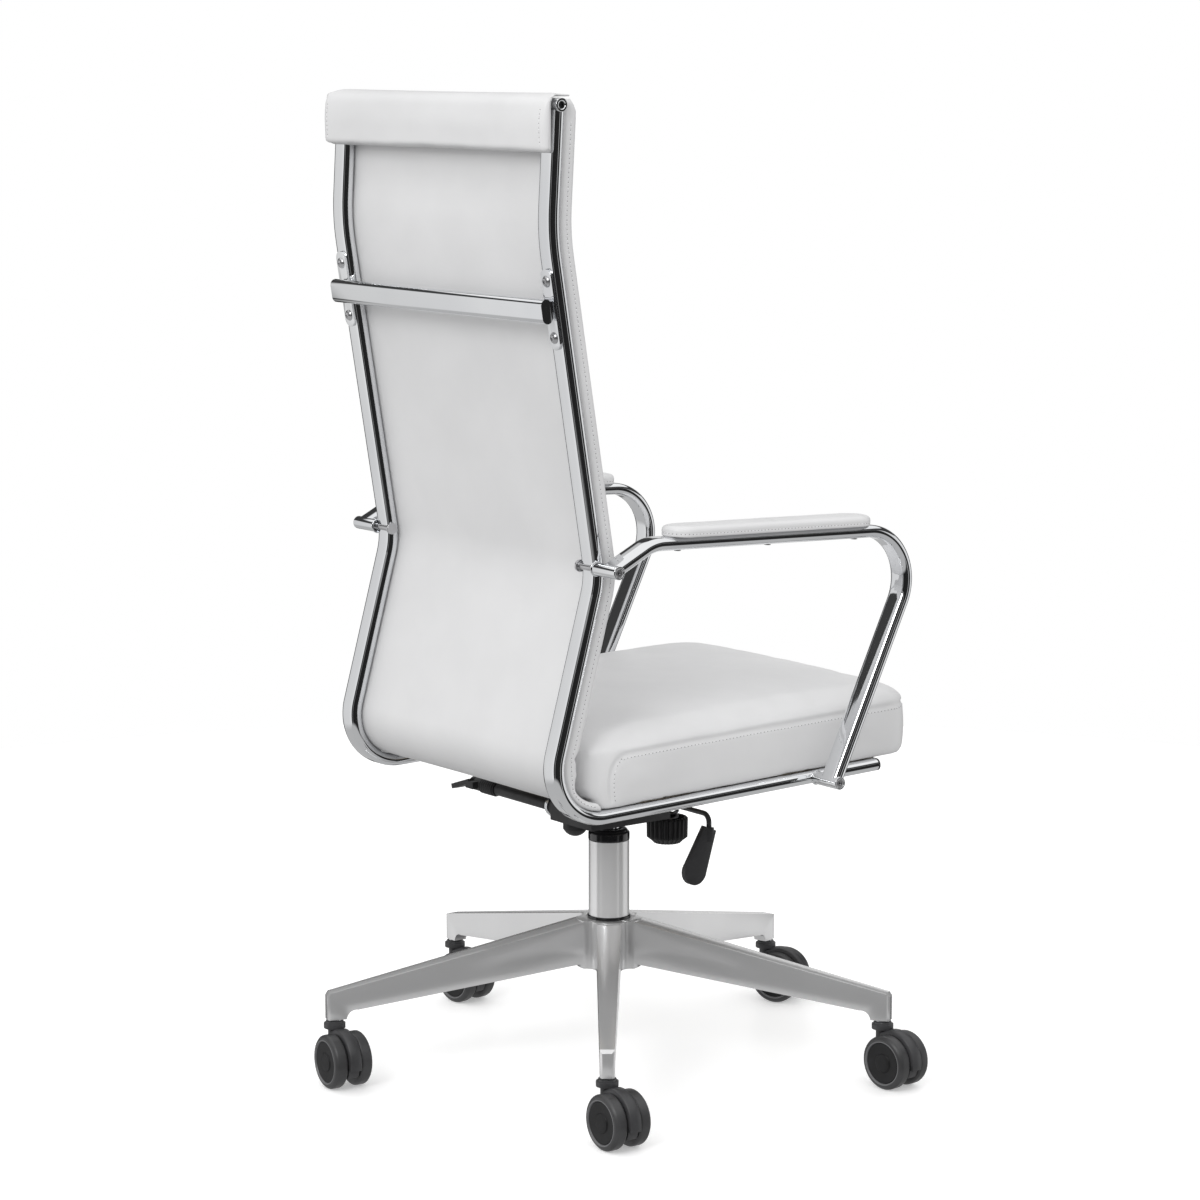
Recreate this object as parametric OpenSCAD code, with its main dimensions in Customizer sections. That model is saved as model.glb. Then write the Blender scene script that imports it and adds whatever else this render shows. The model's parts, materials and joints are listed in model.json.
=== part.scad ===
// Swivel office chair: chrome side frames, padded back and seat, loop arms,
// tilt mechanism on a gas lift column and a five-star base on twin-wheel casters.
// Millimetres. Origin on the floor under the column axis, +Z up, the sitter faces -Y.

/* [Base] */
// Radius from the column axis to the end of a leg
leg_reach = 356; // [300:5:380]
// Heading of the first leg, measured from +X
base_turn = 142.8; // [0:0.1:359]
// Height of the leg at its tip
leg_tip_depth = 32; // [24:1:40]
// Height of the leg at the hub
leg_root_depth = 56; // [46:1:66]
// Width of the leg at its tip
leg_tip_w = 17; // [15:1:24]
// Width of the leg at the hub
leg_root_w = 30; // [26:1:36]
// Rise of the leg top from tip to hub
leg_rise = 70; // [40:1:90]
// Radius of the hub barrel
hub_r = 40; // [38:1:46]

/* [Casters] */
// Wheel diameter
wheel_d = 65; // [50:1:75]
// Width of one wheel
wheel_w = 16.5; // [14:0.5:20]
// Gap between the two wheels of a caster
wheel_gap = 17; // [16:0.5:22]
// Distance from the swivel stem to the wheel axle
caster_trail = 22; // [16:1:26]
// Heading of the axle of each caster, measured from +Y
caster_turns = [-2, 6, 26, 7, -6]; // [-180:1:180]
// Distance of a stem from the end of its leg
stem_inset = 10; // [9.5:0.5:20]
// Stem diameter
stem_d = 11; // [8:0.5:12]
// Axle diameter
axle_d = 8; // [6:0.5:10]

/* [Column] */
// Diameter of the outer column tube
column_d = 50; // [46:1:54]
// Diameter of the sliding gas tube
gas_d = 28; // [25:1:32]
// Lift travel of the seat
lift_travel = 100; // [60:5:120]
// Length of column tube above the hub
column_above_hub = 95; // [80:5:130]

/* [Side rails] */
// Width of the flat-oval tube
tube_w = 30; // [24:1:36]
// Thickness of the flat-oval tube
tube_t = 15; // [12:1:18]
// Wall of the flat-oval tube
tube_wall = 2; // [1.5:0.5:3]
// Distance between the centre lines of the two rails
rail_spacing = 420; // [380:2:460]
// Rise of the seat rails towards the front, in degrees
seat_slope = 1.6; // [0:0.1:5]
// Height of the seat rail centre line above the floor at the column
seat_rail_z = 367; // [358:0.5:380]
// Forward reach of the seat rail from the column axis
rail_front = 239; // [200:1:280]
// Height of the waist bend above the seat rail
waist_rise = 272; // [240:2:310]
// Height of the shoulder bend above the waist bend
shoulder_rise = 390; // [340:5:430]
// Height of the rail top above the shoulder bend
neck_rise = 135; // [110:2:160]

/* [Arms] */
// Distance of an arm centre line outboard of its rail
arm_offset = 41; // [37:1:48]
// Length of the arm pad
pad_len = 300; // [250:2:320]
// Width of the arm pad
pad_w = 46; // [36:1:56]
// Thickness of the arm pad
pad_t = 13; // [10:1:20]

/* [Cushions] */
// Width of the seat cushion
seat_w = 456; // [420:2:480]
// Height of the seat cushion at its sides
seat_side_h = 68; // [50:1:80]
// Extra height of the cushion at its middle
seat_crown = 24; // [14:1:50]
// Forward reach of the seat cushion from the column axis
seat_front = 318; // [260:2:340]
// Thickness of the padded back
back_t = 22; // [16:1:30]
// Thickness of the flange that the back runs out to under the seat
flange_t = 10; // [8:1:12]
// Thickness of the head wrap behind the rails
roll_t = 12; // [8:1:24]
// Height of the head wrap
roll_h = 68; // [56:1:76]

/* [Mechanism] */
// Outer width of the mechanism housing
mech_w = 84; // [74:2:100]
// Diameter of the tilt tension knob
knob_d = 52; // [44:1:60]
// Diameter of the tilt pivot pin
pivot_d = 10; // [8:0.5:14]
// Reach of the lift paddle from the column axis
lift_reach = 200; // [170:5:230]
// Reach of the tilt lock lever from the column axis
lock_reach = 278; // [240:2:300]

/* [Hidden] */
$fn = 48;

// Colours
chrome_c = [0.82, 0.83, 0.85];
alu_c = [0.72, 0.72, 0.73];
steel_c = [0.55, 0.56, 0.58];
black_c = [0.06, 0.06, 0.065];
tread_c = [0.27, 0.27, 0.28];
white_c = [0.93, 0.93, 0.94];
board_c = [0.72, 0.6, 0.44];

// Fits and clearances
run = 0.05;    // radial clearance of a turning or sliding fit
seat_gap = 0.3;  // gap between a soft piece and what carries it
eps = 0.05;    // face clearance of welded and pushed-in pieces
over = 1;      // overshoot of a cutter past the face it opens

// Base and caster heights
leg_bottom_z = wheel_d + 13;
leg_tip_z = leg_bottom_z + leg_tip_depth;
hub_top_z = leg_tip_z + leg_rise;
hub_bottom_z = hub_top_z - leg_root_depth - 6;
stem_r = stem_d / 2;
stem_radius = leg_reach - stem_inset;
stem_depth = 24;
axle_r = axle_d / 2;
caster_half = wheel_gap / 2 + wheel_w;
legs = [for (k = [0:4]) base_turn + 72 * k];

// Column
column_r = column_d / 2;
column_wall = 2;
column_top_z = hub_top_z + column_above_hub;
guide_flange = 14;
guide_top_z = column_top_z + guide_flange;
gas_r = gas_d / 2;
gas_top_z = guide_top_z + 42;
bearing_h = 8;
gas_bottom_z = hub_bottom_z + column_wall + 1 + bearing_h + 6;
rod_r = 5;
clip_h = 3;
piston_z = gas_bottom_z + 6 + lift_travel + 3;

// Mechanism, fixed to the gas tube
mech_floor_z = guide_top_z + 10;
mech_wall = 4;
mech_roof_z = mech_floor_z + 43;
mech_front = -62;
mech_back = 58;
pivot_y = -25;
pivot_z = mech_floor_z + 26;
pivot_r = pivot_d / 2;
knob_y = -90;
knob_r = knob_d / 2;
knob_h = 33;
knob_z = mech_floor_z - 41;
bolt_r = 4;
lip_z = mech_floor_z + 4;
lip_t = 4;
lip_r = 19;
lift_y = 0;
lift_pivot_x = -30;
lift_rod_r = 3;
pin_r = 3.5;
pin_h = 5;
lift_rod_z = gas_top_z + pin_h + 0.5 + lift_rod_r;
lift_out = lift_reach - 4;
lift_elbow = 10;
paddle_z = lift_rod_z - lift_elbow - 6;
paddle_socket = 12;
lock_y = 40;
lock_z = mech_floor_z + 12;
lock_r = 5;

// Side rail centre line, as [y, z] corners with a bend radius at each inner corner
tube_r = tube_t / 2;
rail_x = rail_spacing / 2;
slope = tan(seat_slope);
function seat_line(y) = seat_rail_z - y * slope;
rail_corner = [256, seat_line(256)];
rail_waist = [178, seat_rail_z + waist_rise];
rail_shoulder = [242, rail_waist[1] + shoulder_rise];
rail_top = [234, rail_shoulder[1] + neck_rise];
rail_tip = [-rail_front, seat_line(-rail_front)];
corner_bend = 62;
waist_bend = 90;
shoulder_bend = 260;
rail_path = [rail_top, rail_shoulder, rail_waist, rail_corner, rail_tip];
rail_bends = [0, shoulder_bend, waist_bend, corner_bend, 0];
plug_t = 3;
top_bar_r = tube_r + 0.2;
bar_top = [rail_top[0], rail_top[1] + top_bar_r - 2];
cap_z = bar_top[1] + top_bar_r + seat_gap;
cap_t = 6;

// Arm centre line
arm_x = rail_x + arm_offset;
arm_rear = [186, seat_rail_z + 284.5];
arm_heel = [132, seat_rail_z + 311];
arm_nose = [-284, seat_rail_z + 297];
arm_foot = [-141, seat_rail_z + 4];
arm_path = [arm_rear, arm_heel, arm_nose, arm_foot];
arm_bends = [0, 46, 62, 0];
post_r = tube_r + 0.2;
arm_posts = [arm_rear, arm_foot];
arm_post_end = arm_x + tube_w / 2 + 2;
arm_slope = atan2(arm_heel[1] - arm_nose[1], arm_heel[0] - arm_nose[0]);
pad_y = -41;
pad_share = (pad_y - arm_nose[0]) / (arm_heel[0] - arm_nose[0]);
pad_mid = [pad_y, arm_nose[1] + (arm_heel[1] - arm_nose[1]) * pad_share];
pad_screw_y = [-132, 0, 132];
socket_r = 4.4;
post_bore_r = 4;

// Back crossbar
bar_z = 946;
bar_h = 28;
bar_t = 14;
plate_h = 92;
plate_w = 19;
plate_t = 3;
back_lean = atan2(rail_shoulder[0] - rail_waist[0], rail_shoulder[1] - rail_waist[1]);
bar_screw_rise = 32;
bar_y = tube_r + plate_t + bar_t / 2 + 2;
bar_reach = rail_x + 6;

// Seat
board_t = flange_t;
board_front = -seat_front + 22;
board_back = 148;
board_w = rail_spacing - 6;
member_w = 40;
member_y = [-186, 62];
tilt_plate_t = 4;
tilt_plate_w = 130;

// ---------- helpers ----------

// Headings and turning angles along a path of [y, z] points
function heading(a, b) = atan2(b[1] - a[1], b[0] - a[0]);
function wrap(a) = a > 180 ? a - 360 : (a < -180 ? a + 360 : a);
function turn_at(p, i) = wrap(heading(p[i], p[i + 1]) - heading(p[i - 1], p[i]));
function trim_at(p, r, i) =
    (i <= 0 || i >= len(p) - 1) ? 0 : r[i] * tan(abs(turn_at(p, i)) / 2);
// Centre of the bend at corner i
function bend_centre(p, r, i) =
    let (h = heading(p[i - 1], p[i]), s = sign(turn_at(p, i)),
         start = p[i] - trim_at(p, r, i) * [cos(h), sin(h)])
    start + s * r[i] * [-sin(h), cos(h)];

// Places children so that local +X runs along heading h from point a of the YZ plane,
// local +Y lies to the left of the heading and local +Z along world +X
module in_side_plane(a, h) {
    translate([0, a[0], a[1]])
        multmatrix([[0, 0, 1, 0], [1, 0, 0, 0], [0, 1, 0, 0], [0, 0, 0, 1]])
            rotate([0, 0, h]) children();
}

// Flat-oval outline, wide along Y, thick along X
module oval(w, t) {
    square([t, w - t], center = true);
    for (s = [-1, 1]) translate([0, s * (w - t) / 2]) circle(d = t);
}

// Stations of a path with bent corners, as [y, z, heading]
function stations(p, r, step = 8) = concat(
    [[p[0][0], p[0][1], heading(p[0], p[1])]],
    [for (i = [1:len(p) - 2])
        let (h = heading(p[i - 1], p[i]), turn = turn_at(p, i), s = sign(turn),
             c = bend_centre(p, r, i), n = ceil(abs(turn) / step))
        for (k = [0:n]) let (a = h + turn * k / n)
            [c[0] + s * r[i] * sin(a), c[1] - s * r[i] * cos(a), a]],
    [let (e = len(p) - 1) [p[e][0], p[e][1], heading(p[e - 1], p[e])]]);

// Point at distance o to the left of the path at station q
function aside(q, o) = [q[0] - o * sin(q[2]), q[1] + o * cos(q[2])];

// Points of a flat-oval ring, wide along X, square to the path at station q
function oval_points(q, w, t, sides) = [for (j = [0:sides - 1])
    let (a = 360 * (j + 0.5) / sides, p = aside(q, t / 2 * cos(a)),
         x = t / 2 * sin(a) + (sin(a) > 0 ? 1 : -1) * (w - t) / 2)
    [x, p[0], p[1]]];

// Two triangles that close the corners a, b, c, d, seen from outside
function quad(a, b, c, d) = [[a, c, b], [a, d, c]];

// Bent flat-oval tube along a path; a wall of 0 makes it solid
module oval_path(p, r, w, t, wall) {
    sides = 20;
    st = stations(p, r);
    n = len(st);
    hollow = wall > 0;
    ring = hollow ? 2 * sides : sides;
    e = (n - 1) * ring;
    points = [for (q = st) each concat(oval_points(q, w, t, sides),
        hollow ? oval_points(q, w - 2 * wall, t - 2 * wall, sides) : [])];
    function next(j) = (j + 1) % sides;
    outer = [for (i = [0:n - 2], j = [0:sides - 1]) let (b = i * ring)
        each quad(b + j, b + next(j), b + ring + next(j), b + ring + j)];
    inner = hollow ? [for (i = [0:n - 2], j = [0:sides - 1]) let (b = i * ring + sides)
        each quad(b + j, b + ring + j, b + ring + next(j), b + next(j))] : [];
    caps = hollow
        ? [for (j = [0:sides - 1]) each concat(
              quad(j, sides + j, sides + next(j), next(j)),
              quad(e + j, e + next(j), e + sides + next(j), e + sides + j))]
        : [[for (j = [0:sides - 1]) j], [for (j = [sides - 1:-1:0]) e + j]];
    polyhedron(points, concat(outer, inner, caps), convexity = 6);
}

// Straight flat-oval bar of length l along heading h from point a
module oval_run(a, h, l, w, t) {
    in_side_plane(a, h) rotate([90, 0, 90]) linear_extrude(l) oval(w, t);
}

// Rounded rectangle made of squares and circles, centred
module rounded_square(size, r) {
    square([size[0] - 2 * r, size[1]], center = true);
    square([size[0], size[1] - 2 * r], center = true);
    for (x = [-1, 1], y = [-1, 1])
        translate([x * (size[0] / 2 - r), y * (size[1] / 2 - r)]) circle(r);
}

// Cylinder along X from x0 to x1 at [y, z]
module rod_x(x0, x1, p, r) {
    translate([x0, p[0], p[1]]) rotate([0, 90, 0]) cylinder(r = r, h = x1 - x0);
}

// Puts children on the right (-X) side, and its mirror image on the left (+X) side
module right_side() { mirror([1, 0, 0]) children(); }
module both_sides() { children(); mirror([1, 0, 0]) children(); }

// Local frame of the seat rails: +Y backwards along the rail, +Z square to it
module seat_frame() {
    translate([0, 0, seat_rail_z]) rotate([-seat_slope, 0, 0]) children();
}

// Local frame of the upper back: +Z up along the rail, +Y out of its rear face
module back_frame(z) {
    y = rail_waist[0] + (z - rail_waist[1]) * tan(back_lean);
    translate([0, y, z]) rotate([-back_lean, 0, 0]) children();
}

module at_leg(k) { rotate([0, 0, legs[k]]) children(); }

// Frame of caster k: origin on the stem axis at floor level, axle along local Y
module at_caster(k) {
    a = legs[k];
    translate([stem_radius * cos(a), stem_radius * sin(a), 0])
        rotate([0, 0, caster_turns[k]]) children();
}

// Solid shape of both rails, grown by g, used to cut saddles
module rail_cutter(g) {
    for (s = [-1, 1]) translate([s * rail_x, 0, 0])
        oval_path(rail_path, rail_bends, tube_w + 2 * g, tube_t + 2 * g, 0);
}

// ---------- base ----------

module leg_outline() {
    polygon([[0, leg_root_w / 2], [hub_r, leg_root_w / 2],
             [leg_reach - 3, leg_tip_w / 2], [leg_reach, leg_tip_w / 2 - 3],
             [leg_reach, -leg_tip_w / 2 + 3], [leg_reach - 3, -leg_tip_w / 2],
             [hub_r, -leg_root_w / 2], [0, -leg_root_w / 2]]);
}

module leg_side() {
    arch = 12;
    difference() {
        polygon([[0, hub_top_z], [hub_r, hub_top_z - 4],
                 [leg_reach - 4, leg_tip_z + 1], [leg_reach, leg_tip_z - 3],
                 [leg_reach, leg_bottom_z], [leg_reach - 31, leg_bottom_z],
                 [leg_reach - 31, leg_tip_z - leg_tip_depth + 10],
                 [hub_r, hub_top_z - leg_root_depth], [0, hub_top_z - leg_root_depth]]);
        translate([leg_reach - 35, leg_bottom_z - 1]) circle(arch);
    }
}

module base_star() {
    fillet_r = 13;
    fillet_at = (leg_root_w / 2 + fillet_r) / sin(36);
    color(alu_c) difference() {
        union() {
            for (k = [0:4]) at_leg(k) intersection() {
                translate([0, 0, leg_bottom_z - 1]) linear_extrude(leg_rise + 60) leg_outline();
                translate([0, leg_root_w, 0]) rotate([90, 0, 0])
                    linear_extrude(2 * leg_root_w) leg_side();
            }
            translate([0, 0, hub_bottom_z]) cylinder(r = hub_r, h = hub_top_z - hub_bottom_z - 3);
        }
        for (k = [0:4]) rotate([0, 0, legs[k] + 36]) translate([fillet_at, 0, hub_bottom_z - over])
            cylinder(r = fillet_r, h = leg_root_depth + 20);
        translate([0, 0, hub_bottom_z - over])
            cylinder(r = column_r + 0.02, h = hub_top_z - hub_bottom_z + 2 * over);
        for (k = [0:4]) at_leg(k) translate([stem_radius, 0, leg_bottom_z - over])
            cylinder(r = stem_r + 0.02, h = stem_depth + over);
    }
}

module caster_stems() {
    color(steel_c) for (k = [0:4]) at_leg(k) translate([stem_radius, 0, 0]) {
        translate([0, 0, leg_bottom_z - 30]) cylinder(r = stem_r, h = 30 + stem_depth - 0.5);
        translate([0, 0, leg_bottom_z - 1.6]) cylinder(r = stem_r + 3, h = 1.55);
    }
}

module column_tube() {
    color(chrome_c) translate([0, 0, hub_bottom_z]) difference() {
        cylinder(r = column_r, h = column_top_z - hub_bottom_z);
        translate([0, 0, column_wall + 1])
            cylinder(r = column_r - column_wall, h = column_top_z);
        translate([0, 0, -over]) cylinder(r = rod_r + 1.5, h = column_wall + 3);
    }
}

module column_guide() {
    color(black_c) difference() {
        union() {
            translate([0, 0, column_top_z - 70])
                cylinder(r = column_r - column_wall - 0.02, h = 70);
            translate([0, 0, column_top_z]) cylinder(r = column_r + 0.4, h = guide_flange - 3);
            translate([0, 0, column_top_z + guide_flange - 3]) cylinder(r = column_r - 4, h = 3);
        }
        translate([0, 0, column_top_z - 70 - over])
            cylinder(r = gas_r + run, h = 70 + guide_flange + 2 * over);
    }
}

module thrust_bearing() {
    color(steel_c) translate([0, 0, hub_bottom_z + column_wall + 1]) difference() {
        cylinder(r = 11, h = bearing_h);
        translate([0, 0, -over]) cylinder(r = rod_r + run, h = bearing_h + 2 * over);
    }
}

module piston_rod() {
    shoulder_z = hub_bottom_z + column_wall + 1 + bearing_h + 0.05;
    color(chrome_c) {
        translate([0, 0, hub_bottom_z - clip_h - 2])
            cylinder(r = rod_r, h = piston_z - hub_bottom_z + clip_h + 4);
        translate([0, 0, hub_bottom_z - clip_h - 0.05]) cylinder(r = 8, h = clip_h);
        translate([0, 0, shoulder_z]) cylinder(r = 9, h = 3);
        translate([0, 0, piston_z]) cylinder(r = gas_r - 2 - run, h = 12);
    }
}

module gas_tube() {
    color(chrome_c) translate([0, 0, gas_bottom_z]) difference() {
        cylinder(r = gas_r, h = gas_top_z - gas_bottom_z);
        translate([0, 0, 6]) cylinder(r = gas_r - 2, h = gas_top_z - gas_bottom_z - 16);
        translate([0, 0, -over]) cylinder(r = rod_r + run, h = 6 + 2 * over);
        translate([0, 0, gas_top_z - gas_bottom_z - 12]) cylinder(r = pin_r + run, h = 12 + over);
    }
}

module release_pin() {
    color(steel_c) translate([0, 0, gas_top_z - 5]) cylinder(r = pin_r, h = 5 + pin_h);
}

// ---------- casters ----------

module caster_housing(k) {
    hood_t = wheel_gap - 3;
    hood_r = wheel_d / 2 - 2;
    collar_r = 13;
    color(black_c) at_caster(k) difference() {
        union() {
            translate([-caster_trail, hood_t / 2, wheel_d / 2]) rotate([90, 0, 0])
                intersection() {
                    cylinder(r = hood_r, h = hood_t);
                    translate([-hood_r - 1, -hood_r * 0.55, -1])
                        cube([2 * hood_r + 2, 2 * hood_r, hood_t + 2]);
                }
            translate([0, 0, wheel_d / 2 - 8])
                cylinder(r = hood_t / 2 + 1, h = wheel_d / 2 + 12);
            translate([0, 0, wheel_d + 2]) cylinder(r = collar_r, h = 6);
            translate([0, 0, wheel_d + 8]) cylinder(r = collar_r - 2.5, h = 2.8);
        }
        translate([0, 0, wheel_d / 2 + 6]) cylinder(r = stem_r + run, h = wheel_d);
        translate([-caster_trail, wheel_gap, wheel_d / 2]) rotate([90, 0, 0])
            cylinder(r = axle_r + 0.02, h = 2 * wheel_gap);
        translate([0, 0, wheel_d + 10.8]) cylinder(r = collar_r, h = wheel_d);
        translate([-caster_trail, hood_t, wheel_d / 2 - hood_r * 0.62]) rotate([90, 0, 0])
            cylinder(r = hood_r * 0.42, h = 2 * hood_t);
    }
}

module caster_axle(k) {
    axle_l = 2 * caster_half - 7;
    color(steel_c) at_caster(k) translate([-caster_trail, axle_l / 2, wheel_d / 2])
        rotate([90, 0, 0]) cylinder(r = axle_r, h = axle_l);
}

// Section of one wheel: [radius, distance outward from its inner face]
module wheel_section() {
    r = wheel_d / 2;
    round_r = 5;
    difference() {
        union() {
            translate([0, 0]) square([r - round_r, wheel_w]);
            translate([0, round_r]) square([r, wheel_w - 2 * round_r]);
            for (y = [round_r, wheel_w - round_r]) translate([r - round_r, y]) circle(round_r);
        }
        translate([r * 0.35, -over]) square([r * 0.38, wheel_w * 0.55 + over]);
        translate([-over, -over]) square([axle_r + run + over, wheel_w - 3 + over]);
        translate([-2 * r, -over]) square([2 * r, wheel_w + 2 * over]);
        translate([r - 7, wheel_w - 0.8]) square([1.2, 2]);
    }
}

// One wheel; side is 1 for local +Y and -1 for local -Y
module caster_wheel(k, side) {
    color(tread_c) at_caster(k)
        translate([-caster_trail, side * wheel_gap / 2, wheel_d / 2])
            rotate([-side * 90, 0, 0]) rotate_extrude($fn = 72) wheel_section();
}

// ---------- mechanism ----------

module mechanism_housing() {
    w = mech_w;
    color(black_c) difference() {
        union() {
            difference() {
                translate([-w / 2, 0, 0]) rotate([90, 0, 90]) linear_extrude(w)
                    polygon([[mech_front, mech_floor_z], [mech_back, mech_floor_z],
                             [mech_back, mech_floor_z + 22], [8, mech_roof_z],
                             [mech_front, mech_roof_z]]);
                translate([-w / 2 + mech_wall, 0, 0]) rotate([90, 0, 90])
                    linear_extrude(w - 2 * mech_wall)
                        polygon([[mech_front + mech_wall, mech_floor_z + mech_wall],
                                 [mech_back - mech_wall, mech_floor_z + mech_wall],
                                 [mech_back - mech_wall, mech_roof_z + over],
                                 [mech_front + mech_wall, mech_roof_z + over]]);
            }
            translate([0, 0, mech_floor_z - 4]) cylinder(r = gas_r + 5, h = 32);
            translate([-lip_r, knob_y, lip_z]) cube([2 * lip_r, mech_front - knob_y + 1, lip_t]);
            translate([0, knob_y, lip_z]) cylinder(r = lip_r, h = lip_t);
            rod_x(w / 2 - 1, w / 2 + 20, [lock_y, lock_z], 12);
        }
        translate([0, 0, mech_floor_z - 4 - over]) cylinder(r = gas_r + 0.02, h = 60);
        rod_x(-w, w, [pivot_y, pivot_z], pivot_r + run);
        rod_x(w / 2 - 12, w, [lock_y, lock_z], lock_r + run);
        translate([-bolt_r - 2, knob_y - 11, lip_z - over]) cube([2 * bolt_r + 4, 26, lip_t + 2 * over]);
        translate([-w, lift_y - 5, lift_rod_z - 9]) cube([w, 10, 30]);
    }
}

// Round moulded cover under the lock cam
module mechanism_cover() {
    r = 15;
    depth = 24;
    color(black_c) translate([37, 24, mech_floor_z - depth]) {
        translate([0, 0, r * 0.6]) cylinder(r = r, h = depth - r * 0.6 - eps);
        intersection() {
            translate([0, 0, r * 1.08]) sphere(r * 1.08);
            cylinder(r = r, h = r * 0.7);
        }
    }
}

module tilt_pivot_pin() {
    l = mech_w + 18;
    color(steel_c) rod_x(-l / 2, l / 2, [pivot_y, pivot_z], pivot_r);
}

// Compression spring as a closed helix tube
module tension_spring() {
    wire = 2.2;
    coil_r = 12.5;
    turns = 5;
    z0 = knob_z + 6 + wire + seat_gap;
    z1 = lip_z - wire - seat_gap;
    steps = 14;
    sides = 8;
    n = turns * steps;
    function ring(i) = let (a = 360 * i / steps, z = z0 + (z1 - z0) * i / n)
        [for (j = [0:sides - 1]) let (b = 360 * j / sides)
            [(coil_r + wire * cos(b)) * cos(a), (coil_r + wire * cos(b)) * sin(a),
             z + wire * sin(b)]];
    points = [for (i = [0:n]) each ring(i)];
    skin = [for (i = [0:n - 1], j = [0:sides - 1])
        let (a = i * sides + j, b = i * sides + (j + 1) % sides)
        [a, a + sides, b + sides, b]];
    caps = [[for (j = [0:sides - 1]) j], [for (j = [sides - 1:-1:0]) n * sides + j]];
    color(steel_c) translate([0, knob_y, 0]) polyhedron(points, concat(skin, caps));
}

module tension_bolt() {
    top = seat_line(knob_y) - tube_r - tilt_plate_t - 0.5;
    color(steel_c) translate([0, knob_y, knob_z + 4]) {
        cylinder(r = bolt_r, h = top - knob_z - 4);
        translate([0, 0, top - knob_z - 10]) cylinder(r = 8, h = 5.5);
    }
}

module tension_knob() {
    ribs = 20;
    color(black_c) translate([0, knob_y, knob_z]) difference() {
        union() {
            translate([0, 0, 6]) cylinder(r = knob_r - 1.5, h = knob_h - 6);
            cylinder(r1 = knob_r - 7, r2 = knob_r - 1.5, h = 6);
            for (i = [0:ribs - 1]) rotate([0, 0, i * 360 / ribs])
                translate([knob_r - 3, -1.8, 5]) cube([3, 3.6, knob_h - 5]);
        }
        translate([0, 0, 6]) cylinder(r = knob_r - 5, h = knob_h);
        translate([0, 0, 4 - over]) cylinder(r = bolt_r + run, h = knob_h);
    }
}

module lift_lever_rod() {
    color(black_c) {
        rod_x(-lift_out + lift_elbow, 2, [lift_y, lift_rod_z], lift_rod_r);
        translate([-lift_out + lift_elbow, lift_y, lift_rod_z - lift_elbow]) rotate([90, 0, 0])
            rotate([0, 0, 90]) rotate_extrude(angle = 90)
                translate([lift_elbow, 0]) circle(lift_rod_r);
        translate([-lift_out, lift_y, paddle_z - paddle_socket])
            cylinder(r = lift_rod_r, h = lift_rod_z - lift_elbow - paddle_z + paddle_socket);
        translate([lift_pivot_x, lift_y - 9, lift_rod_z]) rotate([-90, 0, 0])
            cylinder(r = 2, h = 18);
    }
}

module lift_paddle() {
    lean = 24;
    blade = 70;
    color(black_c) translate([-lift_out, lift_y, paddle_z]) difference() {
        union() {
            translate([0, 0, -paddle_socket - 3]) cylinder(r = lift_rod_r + 3, h = paddle_socket + 3);
            rotate([lean, 0, 0]) translate([-3.5, 0, 0]) rotate([90, 0, 90]) linear_extrude(7) {
                polygon([[-9, 0], [9, 0], [16, -blade + 16], [-16, -blade + 16]]);
                translate([0, -blade + 16]) circle(16);
            }
        }
        translate([0, 0, -paddle_socket]) cylinder(r = lift_rod_r + eps, h = 3 * paddle_socket);
    }
}

module lock_lever_shaft() {
    color(black_c) {
        rod_x(mech_w / 2 - 10, lock_reach - 46, [lock_y, lock_z], lock_r);
        rod_x(mech_w / 2 + 20.3, lock_reach - 100, [lock_y, lock_z], lock_r + 2.5);
    }
}

module lock_paddle() {
    x0 = lock_reach - 99;
    color(black_c) difference() {
        union() {
            rod_x(x0, x0 + 52, [lock_y, lock_z], lock_r + 3.5);
            translate([x0 + 34, lock_y - 15, lock_z - 4]) cube([16, 30, 9]);
            translate([x0 + 50, lock_y, lock_z + 5]) rotate([0, 18, 0])
                translate([-6, 0, -5]) linear_extrude(6) union() {
                    polygon([[0, -15], [0, 15], [40, 13], [40, -13]]);
                    translate([40, 0]) scale([0.8, 1]) circle(13);
                }
        }
        rod_x(x0 - over, lock_reach - 46 + eps, [lock_y, lock_z], lock_r + eps);
    }
}

module tilt_plate() {
    half = mech_w / 2 + 4;
    front = member_y[0] - 22;
    back = 90;
    color(black_c) difference() {
        union() {
            seat_frame() translate([0, (front + back) / 2, -tube_r - tilt_plate_t])
                linear_extrude(tilt_plate_t) rounded_square([tilt_plate_w, back - front], 14);
            for (s = [-1, 1]) translate([s > 0 ? half : -half - 4, 0, 0]) rotate([90, 0, 90])
                linear_extrude(4) union() {
                    polygon([[pivot_y - 12, pivot_z], [pivot_y + 12, pivot_z],
                             [pivot_y + 14, seat_line(pivot_y + 14) - tube_r - 1],
                             [pivot_y - 26, seat_line(pivot_y - 26) - tube_r - 1]]);
                    translate([pivot_y, pivot_z]) circle(12);
                }
        }
        rod_x(-mech_w, mech_w, [pivot_y, pivot_z], pivot_r + run);
        for (x = [-1, 1], y = member_y) seat_frame()
            translate([x * 48, y, -tube_r - tilt_plate_t - over]) cylinder(r = 4.2, h = 10);
    }
}

// Hex bolts from below through the tilt plate into the cross members
module frame_bolts() {
    color(steel_c) for (x = [-1, 1], y = member_y) seat_frame() translate([x * 48, y, 0]) {
        translate([0, 0, -tube_r - tilt_plate_t - 5]) cylinder(r = 6.5, h = 5 - eps, $fn = 6);
        translate([0, 0, -tube_r - tilt_plate_t - 1]) cylinder(r = 4, h = 14);
    }
}

// ---------- side frames ----------

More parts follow.
